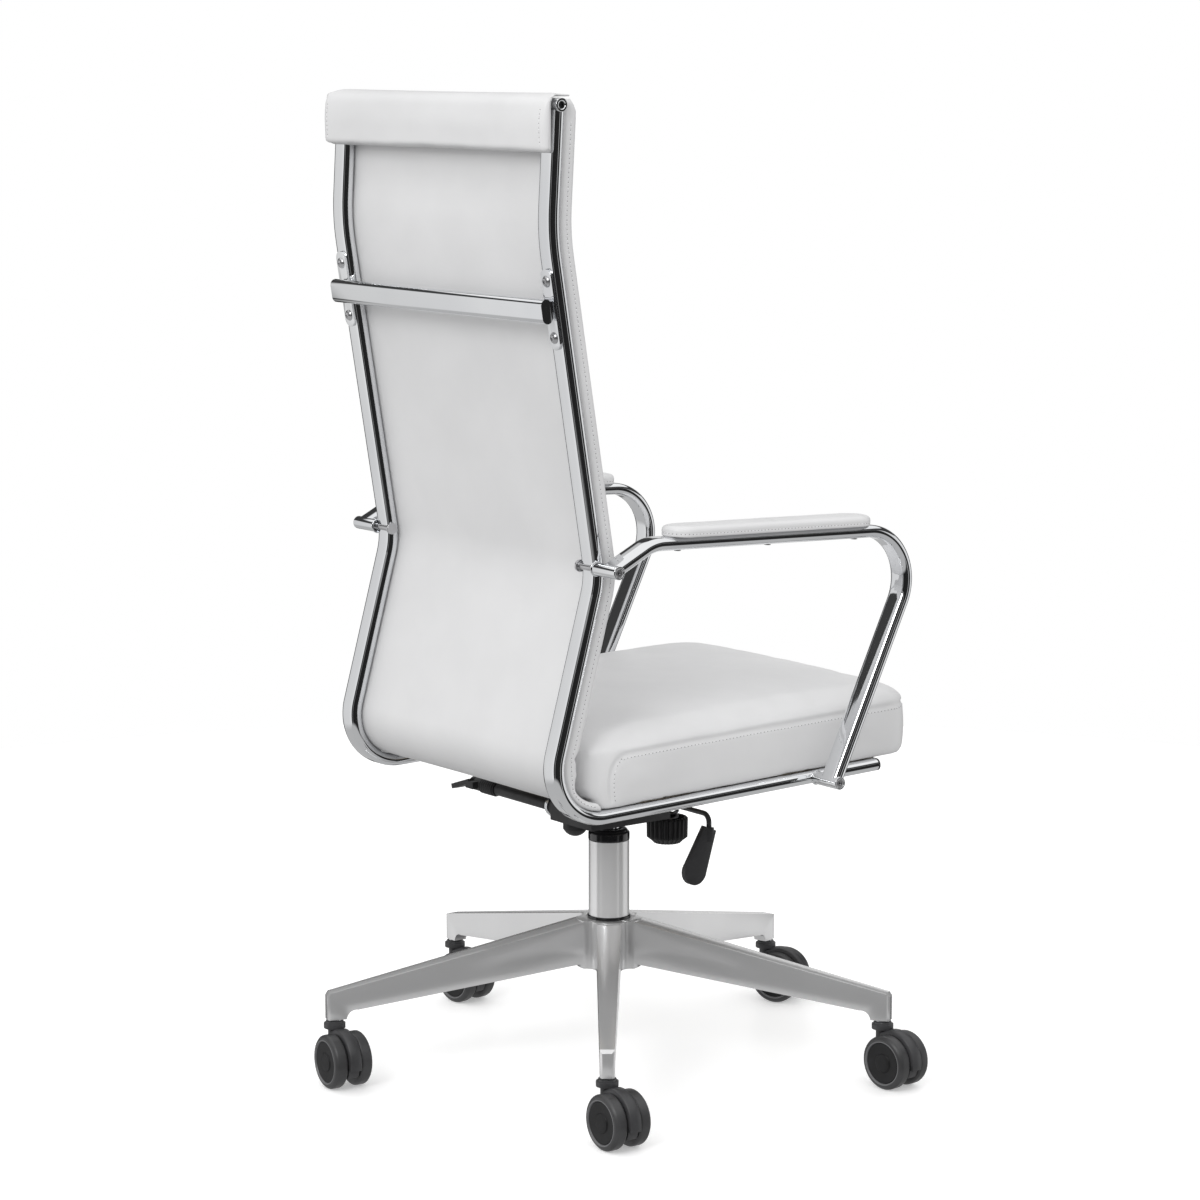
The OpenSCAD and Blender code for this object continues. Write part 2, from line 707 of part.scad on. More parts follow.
module side_rail() {
    color(chrome_c) difference() {
        union() {
            translate([rail_x, 0, 0]) oval_path(rail_path, rail_bends, tube_w, tube_t, tube_wall);
            rod_x(rail_x - tube_w / 2, rail_x + tube_w / 2,
                  bar_top, top_bar_r);
        }
        rod_x(rail_x - tube_w, rail_x + tube_w,
              bar_top, top_bar_r - 3);
        for (p = arm_posts) rod_x(rail_x - tube_w, rail_x + tube_w, p, post_bore_r + 0.1);
        for (s = [-1, 1]) back_frame(bar_z) translate([rail_x, -tube_t, s * bar_screw_rise])
            rotate([-90, 0, 0]) cylinder(r = 3.1, h = 2 * tube_t);
    }
}

module rail_plugs() {
    h = heading(rail_tip, rail_corner);
    color(black_c) both_sides() translate([rail_x, 0, 0]) {
        oval_run(rail_tip - plug_t * [cos(h), sin(h)], h, plug_t - eps, tube_w, tube_t);
        oval_run(rail_tip - plug_t * [cos(h), sin(h)] / 2, h, 10,
                 tube_w - 2 * tube_wall - 0.6, tube_t - 2 * tube_wall - 0.4);
    }
}

module top_bar() {
    p = bar_top;
    l = 2 * (rail_x - tube_w / 2) - 2 * eps;
    color(chrome_c) difference() {
        rod_x(-l / 2, l / 2, p, top_bar_r);
        rod_x(-l, l, p, top_bar_r - 3);
    }
}

// Socket screws that close the rail tops and hold the top bar
module top_bar_screws() {
    p = bar_top;
    color(steel_c) both_sides() difference() {
        union() {
            rod_x(rail_x - 40, rail_x + tube_w / 2 - 5, p, top_bar_r - 3 - run);
        }
        rod_x(rail_x + tube_w / 2 - 9, rail_x + tube_w, p, 2.5);
    }
}

module back_crossbar() {
    stub_h = bar_h - 8;
    stub_w = 14;
    color(chrome_c) difference() {
        back_frame(bar_z) {
            translate([-bar_reach, bar_y, 0]) rotate([90, 0, 90])
                linear_extrude(2 * bar_reach) oval(bar_h, bar_t);
            for (s = [-1, 1]) {
                translate([s * rail_x, tube_r + eps, 0]) rotate([-90, 0, 0])
                    linear_extrude(plate_t) plate_outline();
                translate([s * (rail_x - 2) - stub_w / 2, tube_r + plate_t / 2, -stub_h / 2])
                    cube([stub_w, bar_y - tube_r, stub_h]);
            }
        }
        for (x = [-1, 1], s = [-1, 1]) back_frame(bar_z)
            translate([x * rail_x, 0, s * bar_screw_rise]) rotate([-90, 0, 0])
                cylinder(r = 3.1, h = 60);
    }
}

module plate_outline() {
    square([plate_w, plate_h - plate_w], center = true);
    for (e = [-1, 1]) translate([0, e * (plate_h - plate_w) / 2]) circle(d = plate_w);
}

module crossbar_screws() {
    color(steel_c) for (x = [-1, 1], s = [-1, 1]) back_frame(bar_z)
        translate([x * rail_x, tube_r + plate_t + 2 * eps, s * bar_screw_rise]) rotate([-90, 0, 0])
            difference() {
                union() {
                    translate([0, 0, -plate_t - 8]) cylinder(r = 3, h = plate_t + 9);
                    intersection() {
                        translate([0, 0, -4.2]) sphere(8);
                        cylinder(r = 6.6, h = 6);
                    }
                }
                translate([0, 0, 1.6]) cylinder(r = 2.6, h = 5, $fn = 6);
            }
}

module cross_member(y) {
    color(steel_c) difference() {
        seat_frame() translate([-rail_x, y, 0]) rotate([90, 0, 90])
            linear_extrude(2 * rail_x) difference() {
                rounded_square([member_w, tube_t], 4);
                rounded_square([member_w - 4, tube_t - 4], 2);
            }
        rail_cutter(eps);
        seat_frame() for (x = [-1, 1]) translate([x * 48, y, -tube_t])
            cylinder(r = 4.1, h = tube_t);
    }
}

// ---------- arms ----------

module arm() {
    color(chrome_c) difference() {
        union() {
            translate([arm_x, 0, 0]) oval_path(arm_path, arm_bends, tube_w, tube_t, tube_wall);
            for (p = arm_posts) rod_x(rail_x + 2, arm_post_end, p, post_r);
        }
        translate([0, 0, 0]) rail_cutter(eps);
        for (p = arm_posts) {
            rod_x(rail_x, arm_post_end + over, p, post_bore_r);
            rod_x(arm_post_end - 4, arm_post_end + over, p, socket_r + 1);
        }
        for (y = pad_screw_y) pad_frame() translate([0, y, -tube_t - over])
            cylinder(r = 2.1, h = tube_t + 2 * over);
    }
}

// Local frame of an arm pad: origin on the tube top, +Y backwards
module pad_frame() {
    n = [-sin(arm_slope), cos(arm_slope)];
    translate([arm_x, pad_mid[0] + n[0] * tube_r, pad_mid[1] + n[1] * tube_r])
        rotate([arm_slope, 0, 0]) children();
}

module arm_pad() {
    color(white_c) pad_frame() translate([0, 0, eps]) difference() {
        linear_extrude(pad_t) union() {
            square([pad_w, pad_len - pad_w], center = true);
            for (s = [-1, 1]) translate([0, s * (pad_len - pad_w) / 2]) circle(d = pad_w);
        }
        for (y = pad_screw_y) translate([0, y, -over]) cylinder(r = 2, h = 7 + over);
    }
}

module arm_pad_screws() {
    color(steel_c) both_sides() pad_frame() for (y = pad_screw_y) translate([0, y, 0]) {
        translate([0, 0, -tube_t - 2 - eps]) cylinder(r = 4, h = 2);
        translate([0, 0, -tube_t - 2]) cylinder(r = 1.95, h = tube_t + 8);
    }
}

// Through bolts from the inner face of a rail, and socket screws in the post ends
module arm_bolts() {
    inner = rail_x - tube_w / 2;
    color(steel_c) both_sides() for (p = arm_posts) {
        rod_x(inner - 3, inner - eps, p, 7);
        rod_x(inner - 1, arm_post_end - 14, p, post_bore_r - run);
        difference() {
            rod_x(arm_post_end - 13, arm_post_end - 3.9, p, post_bore_r - run);
            rod_x(arm_post_end - 8, arm_post_end, p, 2);
        }
        difference() {
            rod_x(arm_post_end - 4, arm_post_end - 0.8, p, socket_r + 0.9);
            rod_x(arm_post_end - 9, arm_post_end + 1, p, 2);
        }
    }
}

// ---------- upholstery ----------

// Stations of the rail from its top to the end of its lower corner
back_stations = let (st = stations(rail_path, rail_bends, 4)) [for (i = [0:len(st) - 2]) st[i]];
corner_steps = ceil(abs(turn_at(rail_path, 3)) / 4) + 1;
corner_from = len(back_stations) - corner_steps;

// Line that follows the front of the rails at o_back, and at o_corner round the lower corner
function back_line(o_back, o_corner) = concat(
    [for (i = [0:corner_from]) aside(back_stations[i], -o_back)],
    [for (i = [corner_from:len(back_stations) - 1]) aside(back_stations[i], -o_corner)]);
function reversed(v) = [for (i = [len(v) - 1:-1:0]) v[i]];

// Padded back on the front of the rails, with a thin flange that runs under the seat
module back_panel() {
    w = rail_spacing + 18;
    rear_o = tube_r + seat_gap;
    rise = cap_z - seat_gap - rail_top[1];
    top = [for (o = [rear_o, rear_o + back_t]) [rail_top[0] - o, rail_top[1] + rise]];
    color(white_c) translate([-w / 2, 0, 0]) rotate([90, 0, 90]) linear_extrude(w)
        polygon(concat([top[1], top[0]], back_line(rear_o, rear_o),
                       reversed(back_line(rear_o + back_t, rear_o + flange_t))));
}

// Padded wrap: a cap over the top bar between the rails, and a slab hanging behind them
module head_roll() {
    soft = 5;
    top_z = cap_z + cap_t;
    low_z = top_z - roll_h;
    lean = (rail_shoulder[0] - rail_top[0]) / neck_rise;
    hang_y = rail_top[0] + (rail_top[1] - low_z) * lean + tube_r + 2 * seat_gap;
    rear_y = hang_y + roll_t;
    slab_w = rail_spacing + tube_w + 2;
    cap_w = rail_spacing - tube_w - 2;
    front_y = rail_top[0] - tube_r - seat_gap - back_t;
    color(white_c) {
        translate([-slab_w / 2, 0, 0]) rotate([90, 0, 90]) linear_extrude(slab_w)
            polygon([[hang_y, top_z], [rear_y - soft, top_z], [rear_y, top_z - soft],
                     [rear_y, low_z + soft], [rear_y - soft, low_z], [hang_y, low_z]]);
        translate([-cap_w / 2, front_y, cap_z]) cube([cap_w, rear_y - soft - front_y, cap_t]);
    }
}

module seat_cushion() {
    bottom = tube_r + seat_gap;
    back_y = 200;
    front_y = -seat_front;
    len = back_y - front_y;
    mid = (back_y + front_y) / 2;
    h = seat_side_h + seat_crown;
    crown_r = (pow(seat_w / 2, 2) + pow(seat_crown, 2)) / (2 * seat_crown);
    color(white_c) difference() {
        seat_frame() intersection() {
            translate([0, mid, bottom]) linear_extrude(h) rounded_square([seat_w, len], 38);
            translate([0, back_y, bottom + h - crown_r]) rotate([90, 0, 0])
                cylinder(r = crown_r, h = len, $fn = 200);
            translate([-seat_w / 2, 0, 0]) rotate([90, 0, 90]) linear_extrude(seat_w)
                translate([mid, bottom + h / 2]) rounded_square([len, h], 24);
        }
        seat_frame() translate([-board_w / 2 - seat_gap, board_front - seat_gap, 0])
            cube([board_w + 2 * seat_gap, board_back - board_front + 2 * seat_gap,
                  bottom + board_t]);
        rear_cut();
    }
}

// Room for the back and its flange, cut from the rear of the seat cushion
module rear_cut() {
    w = seat_w + 20;
    far = 200;
    clear_o = tube_r + 2 * seat_gap;
    last = back_stations[len(back_stations) - 1];
    translate([-w / 2, 0, 0]) rotate([90, 0, 90]) linear_extrude(w)
        polygon(concat(back_line(clear_o + back_t, clear_o + flange_t),
                       [aside(last, -clear_o - flange_t) - [seat_gap, 0],
                        aside(last, 0) - [seat_gap, 0],
                        rail_corner + [far, 0], rail_top + [far, 0]]));
}

module seat_board() {
    color(board_c) seat_frame()
        translate([0, (board_front + board_back) / 2, tube_r + eps])
            linear_extrude(board_t - eps) rounded_square([board_w, board_back - board_front], 30);
}

// ---------- nodes ----------

base_star();
caster_stems();
column_tube();
column_guide();
thrust_bearing();
piston_rod();
gas_tube();
release_pin();
mechanism_housing();
mechanism_cover();
tilt_pivot_pin();
tension_spring();
tension_bolt();
tension_knob();
lift_lever_rod();
lift_paddle();
lock_lever_shaft();
lock_paddle();
tilt_plate();
frame_bolts();
right_side() side_rail();  // side_rail_right
side_rail();  // side_rail_left
rail_plugs();
top_bar();
top_bar_screws();
back_crossbar();
crossbar_screws();
cross_member(member_y[0]);  // cross_member_front
cross_member(member_y[1]);  // cross_member_rear
right_side() arm();  // arm_right
arm();  // arm_left
right_side() arm_pad();  // arm_pad_right
arm_pad();  // arm_pad_left
arm_bolts();
arm_pad_screws();
back_panel();
head_roll();
seat_cushion();
seat_board();
for (i = [1:5]) {
    caster_housing(i - 1);
    caster_axle(i - 1);
    caster_wheel(i - 1, -1);
    caster_wheel(i - 1, 1);
}
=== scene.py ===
"""Looks of the swivel office chair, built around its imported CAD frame. Metres, +Z up, sitter faces -Y."""
import json
import math

import bpy
import bmesh
from mathutils import Matrix, Vector, noise
from mathutils.bvhtree import BVHTree
from mathutils.kdtree import KDTree

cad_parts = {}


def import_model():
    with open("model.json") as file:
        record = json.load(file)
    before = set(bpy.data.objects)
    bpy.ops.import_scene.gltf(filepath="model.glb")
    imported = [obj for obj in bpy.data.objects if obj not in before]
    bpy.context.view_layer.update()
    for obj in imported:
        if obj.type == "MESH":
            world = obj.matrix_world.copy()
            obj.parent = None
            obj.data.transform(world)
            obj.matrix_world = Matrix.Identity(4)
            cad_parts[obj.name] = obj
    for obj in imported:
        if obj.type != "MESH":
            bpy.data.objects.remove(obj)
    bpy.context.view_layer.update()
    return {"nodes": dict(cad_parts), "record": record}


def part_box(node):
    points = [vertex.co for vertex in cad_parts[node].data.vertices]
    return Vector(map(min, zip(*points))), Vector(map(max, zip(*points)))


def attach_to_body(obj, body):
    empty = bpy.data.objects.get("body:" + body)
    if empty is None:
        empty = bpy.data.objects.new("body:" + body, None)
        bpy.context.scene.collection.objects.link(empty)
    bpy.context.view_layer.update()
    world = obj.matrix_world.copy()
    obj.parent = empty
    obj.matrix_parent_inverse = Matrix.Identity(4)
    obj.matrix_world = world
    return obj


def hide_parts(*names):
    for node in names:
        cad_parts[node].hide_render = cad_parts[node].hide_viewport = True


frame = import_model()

TAU = 2 * math.pi

# ---------- sizes shared with the CAD, in metres ----------

TUBE_W, TUBE_T = 0.030, 0.015
TUBE_R = TUBE_T / 2
GAP = 0.0003
RAIL_X = 0.210
SEAT_Z = 0.367
SEAT_CORNER = 0.040
SEAT_SIDE_INSET, SEAT_FRONT_INSET = 0.006, 0.008
SLOPE = math.tan(math.radians(1.6))
ARM_X = RAIL_X + 0.041
BACK_T = 0.022
FLANGE_T = 0.010
RAIL_PATH = [(0.234, SEAT_Z + 0.797), (0.242, SEAT_Z + 0.662), (0.178, SEAT_Z + 0.272),
             (0.256, SEAT_Z - 0.256 * SLOPE), (-0.239, SEAT_Z + 0.239 * SLOPE)]
RAIL_BENDS = [0, 0.260, 0.090, 0.062, 0]
ARM_PATH = [(0.186, SEAT_Z + 0.2845), (0.132, SEAT_Z + 0.311),
            (-0.284, SEAT_Z + 0.297), (-0.141, SEAT_Z + 0.004)]
ARM_BENDS = [0, 0.046, 0.062, 0]
POST_R = TUBE_R + 0.0002
LEG_TURN = [math.radians(142.8 + 72 * k) for k in range(5)]
CASTER_TURN = [math.radians(a) for a in (-2, 6, 26, 7, -6)]
STEM_RADIUS = 0.346
TRAIL, WHEEL_R, WHEEL_W, WHEEL_GAP = 0.022, 0.0325, 0.0165, 0.017


# ---------- node materials ----------

class Nodes:
    """Small wrapper that adds and links nodes of one material."""

    def __init__(self, name):
        self.mat = bpy.data.materials.new(name)
        self.mat.use_nodes = True
        self.tree = self.mat.node_tree
        self.shader = self.tree.nodes["Principled BSDF"]
        coord = self.tree.nodes.new("ShaderNodeTexCoord")
        self.place = coord.outputs["Object"]

    def add(self, kind, **values):
        node = self.tree.nodes.new(kind)
        for key, value in values.items():
            if key in node.bl_rna.properties:
                setattr(node, key, value)
            else:
                node.inputs[key.replace("_", " ")].default_value = value
        return node

    def link(self, a, b):
        self.tree.links.new(a, b)

    def stretched(self, scale):
        node = self.add("ShaderNodeMapping")
        node.inputs["Scale"].default_value = scale
        self.link(self.place, node.inputs["Vector"])
        return node.outputs["Vector"]

    def noise(self, scale, detail=3, rough=0.5, place=None):
        node = self.add("ShaderNodeTexNoise", Scale=scale, Detail=detail, Roughness=rough)
        self.link(place or self.place, node.inputs["Vector"])
        return node.outputs["Fac"]

    def cells(self, scale, feature="DISTANCE_TO_EDGE", place=None):
        node = self.add("ShaderNodeTexVoronoi", feature=feature, Scale=scale)
        self.link(place or self.place, node.inputs["Vector"])
        return node.outputs["Distance"]

    def ramp(self, fac, low, high, a=0.3, b=0.7):
        node = self.add("ShaderNodeValToRGB")
        ends = node.color_ramp.elements
        ends[0].position, ends[1].position = a, b
        ends[0].color = (*low, 1) if isinstance(low, tuple) else (low, low, low, 1)
        ends[1].color = (*high, 1) if isinstance(high, tuple) else (high, high, high, 1)
        self.link(fac, node.inputs["Fac"])
        return node.outputs["Color"]

    def colour(self, fac, low, high, a=0.3, b=0.7):
        self.link(self.ramp(fac, low, high, a, b), self.shader.inputs["Base Color"])

    def rough(self, fac, low, high):
        node = self.add("ShaderNodeMapRange", To_Min=low, To_Max=high)
        self.link(fac, node.inputs["Value"])
        self.link(node.outputs["Result"], self.shader.inputs["Roughness"])

    def math(self, operation, a, b):
        node = self.add("ShaderNodeMath", operation=operation)
        for socket, value in zip(node.inputs, (a, b)):
            if isinstance(value, (int, float)):
                socket.default_value = value
            else:
                self.link(value, socket)
        return node.outputs["Value"]

    def bump(self, height, strength, distance, under=None):
        node = self.add("ShaderNodeBump", Strength=strength, Distance=distance)
        self.link(height, node.inputs["Height"])
        if under is not None:
            self.link(under, node.inputs["Normal"])
        self.link(node.outputs["Normal"], self.shader.inputs["Normal"])
        return node.outputs["Normal"]

    def set(self, **values):
        for key, value in values.items():
            socket = self.shader.inputs[key.replace("_", " ")]
            socket.default_value = (*value, 1) if isinstance(value, tuple) else value


def leather(name, low, high, grain=1500.0):
    """Fine-grained coated leather: pebble cells, pores and soft stretch lines."""
    n = Nodes(name)
    n.colour(n.noise(9, 4), low, high)
    n.rough(n.noise(60, 3), 0.36, 0.50)
    pebble = n.math("MINIMUM", n.math("MULTIPLY", n.cells(grain), 3.0), 1.0)
    pores = n.noise(grain * 2.2, 2)
    height = n.math("ADD", pebble, n.math("MULTIPLY", pores, 0.35))
    soft = n.bump(n.noise(16, 2, 0.6), 0.08, 0.002)
    n.bump(height, 0.22, 0.00012, soft)
    n.set(Specular_IOR_Level=0.45, Coat_Weight=0.06, Coat_Roughness=0.3,
          Sheen_Weight=0.05, Sheen_Roughness=0.5)
    return n.mat


def metal(name, low, high, rough, grain, strength=0.03, streak=(1, 1, 1), metallic=1.0):
    n = Nodes(name)
    place = n.stretched(streak)
    n.colour(n.noise(7, 3), low, high)
    n.rough(n.noise(grain, 3, 0.6, place), *rough)
    n.bump(n.noise(grain * 3, 2, 0.5, place), strength, 0.0002)
    n.set(Metallic=metallic)
    return n.mat


def plastic(name, low, high, rough, grain, strength=0.25, specular=0.5, coat=0.0):
    n = Nodes(name)
    n.colour(n.noise(40, 4), low, high)
    n.rough(n.noise(120, 3), *rough)
    n.bump(n.cells(grain, "F1"), strength, 0.0002)
    n.set(Specular_IOR_Level=specular, Coat_Weight=coat, Coat_Roughness=0.12)
    return n.mat


def plywood(name):
    n = Nodes(name)
    place = n.stretched((3, 60, 60))
    n.colour(n.noise(3, 5, 0.6, place), (0.50, 0.43, 0.34), (0.68, 0.61, 0.50))
    n.rough(n.noise(30), 0.55, 0.75)
    n.bump(n.noise(8, 4, 0.6, place), 0.2, 0.0004)
    return n.mat


def thread(name):
    n = Nodes(name)
    n.colour(n.noise(900, 2), (0.66, 0.66, 0.67), (0.86, 0.86, 0.87))
    n.rough(n.noise(500), 0.5, 0.7)
    n.bump(n.noise(2500, 2), 0.5, 0.0001)
    n.set(Sheen_Weight=0.2)
    return n.mat


WHITE = leather("white_leather", (0.655, 0.655, 0.66), (0.70, 0.70, 0.705))
THREAD = thread("white_thread")
# Near-black for the needle holes: painted shade that stands in for the dark inside each hole.
HOLE_SHADE = plastic("needle_hole_shade", (0.05, 0.05, 0.05), (0.12, 0.12, 0.12), (0.8, 0.9), 900)
CHROME = metal("mirror_chrome", (0.78, 0.79, 0.81), (0.86, 0.87, 0.88), (0.025, 0.06), 40, 0.01)
POLISHED = metal("polished_cast_alloy", (0.74, 0.74, 0.745), (0.80, 0.80, 0.805), (0.16, 0.24), 260, 0.08,
                 (1, 1, 1), 0.62)
SATIN = metal("satin_chrome", (0.80, 0.80, 0.805), (0.86, 0.86, 0.865), (0.16, 0.24), 300, 0.04, (1, 1, 0.05),
              0.36)
STEEL = metal("zinc_steel", (0.50, 0.50, 0.51), (0.64, 0.64, 0.65), (0.22, 0.38), 500, 0.15)
# Dark spring steel for the tension spring; the same dark colour is used as painted shade inside the screw
# sockets.
SPRING_STEEL_AND_SOCKET_SHADE = metal("spring_steel_and_socket_shade", (0.10, 0.10, 0.11), (0.17, 0.17, 0.18), (0.3, 0.45), 400, 0.15)
MATTE = plastic("matte_black_plastic", (0.012, 0.012, 0.013), (0.022, 0.022, 0.024), (0.42, 0.58), 1800, 0.35)
GLOSSY = plastic("glossy_black_plastic", (0.008, 0.008, 0.009), (0.014, 0.014, 0.015), (0.10, 0.20), 900,
                 0.04, 0.5, 0.5)
HOOD = plastic("charcoal_nylon", (0.035, 0.035, 0.037), (0.055, 0.055, 0.058), (0.34, 0.48), 1400, 0.25)
TREAD = plastic("grey_wheel_rubber", (0.036, 0.036, 0.037), (0.052, 0.052, 0.054), (0.30, 0.44), 1600, 0.2)
RIM = plastic("wheel_rim_line", (0.12, 0.12, 0.125), (0.17, 0.17, 0.175), (0.25, 0.35), 1200, 0.1)
DISC = plastic("wheel_disc", (0.009, 0.009, 0.0095), (0.016, 0.016, 0.017), (0.40, 0.55), 1500, 0.3, 0.3)
PAINT = plastic("black_powder_coat", (0.014, 0.014, 0.015), (0.026, 0.026, 0.028), (0.40, 0.55), 700, 0.5)
PLY = plywood("seat_board_plywood")


# ---------- mesh helpers ----------

def finish_mesh(name, bm, mats, body, nodes=(), smooth=True):
    """Object from a bmesh, with its materials; it rides on body and stands for the nodes."""
    bmesh.ops.recalc_face_normals(bm, faces=bm.faces)
    mesh = bpy.data.meshes.new(name)
    bm.to_mesh(mesh)
    bm.free()
    obj = bpy.data.objects.new(name, mesh)
    bpy.context.scene.collection.objects.link(obj)
    for m in mats if isinstance(mats, (list, tuple)) else [mats]:
        mesh.materials.append(m)
    for p in mesh.polygons:
        p.use_smooth = smooth
    if body:
        attach(obj, body, nodes)
    return obj


def attach(obj, body, nodes=()):
    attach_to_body(obj, body)
    if nodes:
        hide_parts(*nodes)
    return obj


def sharp_by_angle(obj, degrees=32):
    """Smooth shading that keeps the edges sharper than this angle."""
    bm = bmesh.new()
    bm.from_mesh(obj.data)
    limit = math.radians(degrees)
    for e in bm.edges:
        e.smooth = len(e.link_faces) == 2 and e.calc_face_angle(0) < limit
    for f in bm.faces:
        f.smooth = True
    bm.to_mesh(obj.data)
    bm.free()


def bevel(obj, width, segments=2, degrees=32):
    mod = obj.modifiers.new("bevel", "BEVEL")
    mod.width, mod.segments = width, segments
    mod.limit_method, mod.angle_limit = "ANGLE", math.radians(degrees)
    mod.harden_normals = False
    mod.miter_outer = "MITER_ARC"
    apply_modifiers(obj)


def apply_modifiers(obj):
    graph = bpy.context.evaluated_depsgraph_get()
    graph.update()
    mesh = bpy.data.meshes.new_from_object(obj.evaluated_get(graph))
    obj.modifiers.clear()
    old = obj.data
    obj.data = mesh
    bpy.data.meshes.remove(old)


def skin(rings, loop=False):
    """Quad mesh through closed rings of points, with end caps unless it loops back to the first ring."""
    bm = bmesh.new()
    rows = [[bm.verts.new(p) for p in ring] for ring in rings]
    count = len(rings[0])
    pairs = list(zip(rows, rows[1:])) + ([(rows[-1], rows[0])] if loop else [])
    for a, b in pairs:
        for j in range(count):
            k = (j + 1) % count
            bm.faces.new((a[j], a[k], b[k], b[j]))
    if not loop:
        bm.faces.new(rows[0])
        bm.faces.new(list(reversed(rows[-1])))
    return bm


def heading(a, b):
    return math.atan2(b[1] - a[1], b[0] - a[0])


def stations(path, bends, step=3.0, run=None):
    """Points along a path with round corners: (y, z, heading)."""
    out = [(*path[0], heading(path[0], path[1]))]
    for i in range(1, len(path) - 1):
        h = heading(path[i - 1], path[i])
        turn = (heading(path[i], path[i + 1]) - h + math.pi) % TAU - math.pi
        s, r = math.copysign(1, turn), bends[i]
        trim = r * math.tan(abs(turn) / 2)
        y = path[i][0] - trim * math.cos(h) - s * r * math.sin(h)
        z = path[i][1] - trim * math.sin(h) + s * r * math.cos(h)
        count = max(1, math.ceil(math.degrees(abs(turn)) / step))
        for k in range(count + 1):
            a = h + turn * k / count
            out.append((y + s * r * math.sin(a), z - s * r * math.cos(a), a))
    out.append((*path[-1], heading(path[-2], path[-1])))
    if run is None:
        return out
    dense = [out[0]]
    for a, b in zip(out, out[1:]):
        count = max(1, round(math.dist(a[:2], b[:2]) / run))
        turn = (b[2] - a[2] + math.pi) % TAU - math.pi
        for k in range(1, count + 1):
            t = k / count
            dense.append((a[0] + (b[0] - a[0]) * t, a[1] + (b[1] - a[1]) * t, a[2] + turn * t))
    return dense


def beside(q, x, o):
    """Point at x across and o to the left of the path at station q."""
    return Vector((x, q[0] - o * math.sin(q[2]), q[1] + o * math.cos(q[2])))


def oval_outline(w, t, arc=14, flat=3):
    half = (w - t) / 2
    pts = []
    for side in (1, -1):
        for k in range(arc + 1):
            a = -math.pi / 2 + math.pi * k / arc
            pts.append((side * (half + t / 2 * math.cos(a)), side * t / 2 * math.sin(a)))
        for k in range(1, flat):
            pts.append((side * half * (1 - 2 * k / flat), side * t / 2))
    return pts


def tube(name, x0, st, body, nodes):
    outline = oval_outline(TUBE_W, TUBE_T)
    rings = [[beside(q, x0 + u, v) for u, v in outline] for q in st]
    obj = finish_mesh(name, skin(rings), CHROME, body, nodes)
    sharp_by_angle(obj, 50)


def bridge(bm, rows, segs):
    """Faces between rings of points; a ring of a single point closes the surface."""
    for a, b in zip(rows, rows[1:]):
        for k in range(segs):
            n = (k + 1) % segs
            ring = [a[k % len(a)], a[n % len(a)], b[n % len(b)], b[k % len(b)]]
            ring = [v for i, v in enumerate(ring) if v not in ring[:i]]
            if len(ring) > 2:
                bm.faces.new(ring)
    return bm


def lathe_bm(profile, frame_matrix, segs=64):
    """Turns [(radius, height)] round local Z of the frame; a radius of 0 closes on the axis."""
    bm = bmesh.new()
    rows = []
    for r, h in profile:
        if r < 1e-6:
            rows.append([bm.verts.new(frame_matrix @ Vector((0, 0, h)))])
        else:
            rows.append([bm.verts.new(frame_matrix @ Vector((r * math.cos(TAU * k / segs),
                                                             r * math.sin(TAU * k / segs), h)))
                         for k in range(segs)])
    return bridge(bm, rows, segs)


def rounded(points, r, steps=4):
    """Rounds the inner corners of an open [(radius, height)] profile."""
    out = [points[0]]
    for a, b, c in zip(points, points[1:], points[2:]):
        va, vc = Vector(a) - Vector(b), Vector(c) - Vector(b)
        cut = min(r, va.length * 0.48, vc.length * 0.48)
        if cut < 1e-6:
            out.append(b)
            continue
        p0, p1 = Vector(b) + va.normalized() * cut, Vector(b) + vc.normalized() * cut
        for k in range(steps + 1):
            t = k / steps
            q = (1 - t) ** 2 * p0 + 2 * t * (1 - t) * Vector(b) + t ** 2 * p1
            out.append((max(q.x, 0), q.y))
    out.append(points[-1])
    return out


def axis_frame(origin, axis):
    """Frame whose Z points along axis."""
    return Matrix.Translation(origin) @ Vector(axis).to_track_quat("Z", "Y").to_matrix().to_4x4()


def lathe(name, profile, origin, axis, mats, body, nodes=(), segs=64, r=0.0, degrees=40):
    shape = rounded(profile, r) if r else profile
    obj = finish_mesh(name, lathe_bm(shape, axis_frame(origin, axis), segs), mats, body, nodes)
    sharp_by_angle(obj, degrees)


def copy_cad(node, name, mats, width=0.0, segments=2, degrees=30, weld=2e-5):
    """Copy of a CAD node with its edges rounded, standing in for the node."""
    bm = bmesh.new()
    bm.from_mesh(frame["nodes"][node].data)
    bmesh.ops.remove_doubles(bm, verts=bm.verts, dist=weld)
    bmesh.ops.dissolve_limit(bm, angle_limit=math.radians(0.6), verts=bm.verts, edges=bm.edges)
    obj = finish_mesh(name, bm, mats, None)
    if width:
        bevel(obj, width, segments, degrees)
    sharp_by_angle(obj, 35)
    attach(obj, BODY_OF[node], [node])


BODY_OF = {n: b for b, nodes in frame["record"]["behaviour"]["bodies"].items() for n in nodes}


def give(node, mat):
    """New material on a CAD node that keeps its own shape."""
    obj = frame["nodes"][node]
    obj.data.materials.clear()
    obj.data.materials.append(mat)


# ---------- sewing ----------

def resample(points, step):
    """Points a fixed distance apart along a polyline."""
    out, carry = [Vector(points[0])], 0.0
    for a, b in zip(points, points[1:]):
        a, b = Vector(a), Vector(b)
        length = (b - a).length
        at = step - carry
        while at < length:
            out.append(a.lerp(b, at / length))
            at += step
        carry = length - (at - step)
    return out


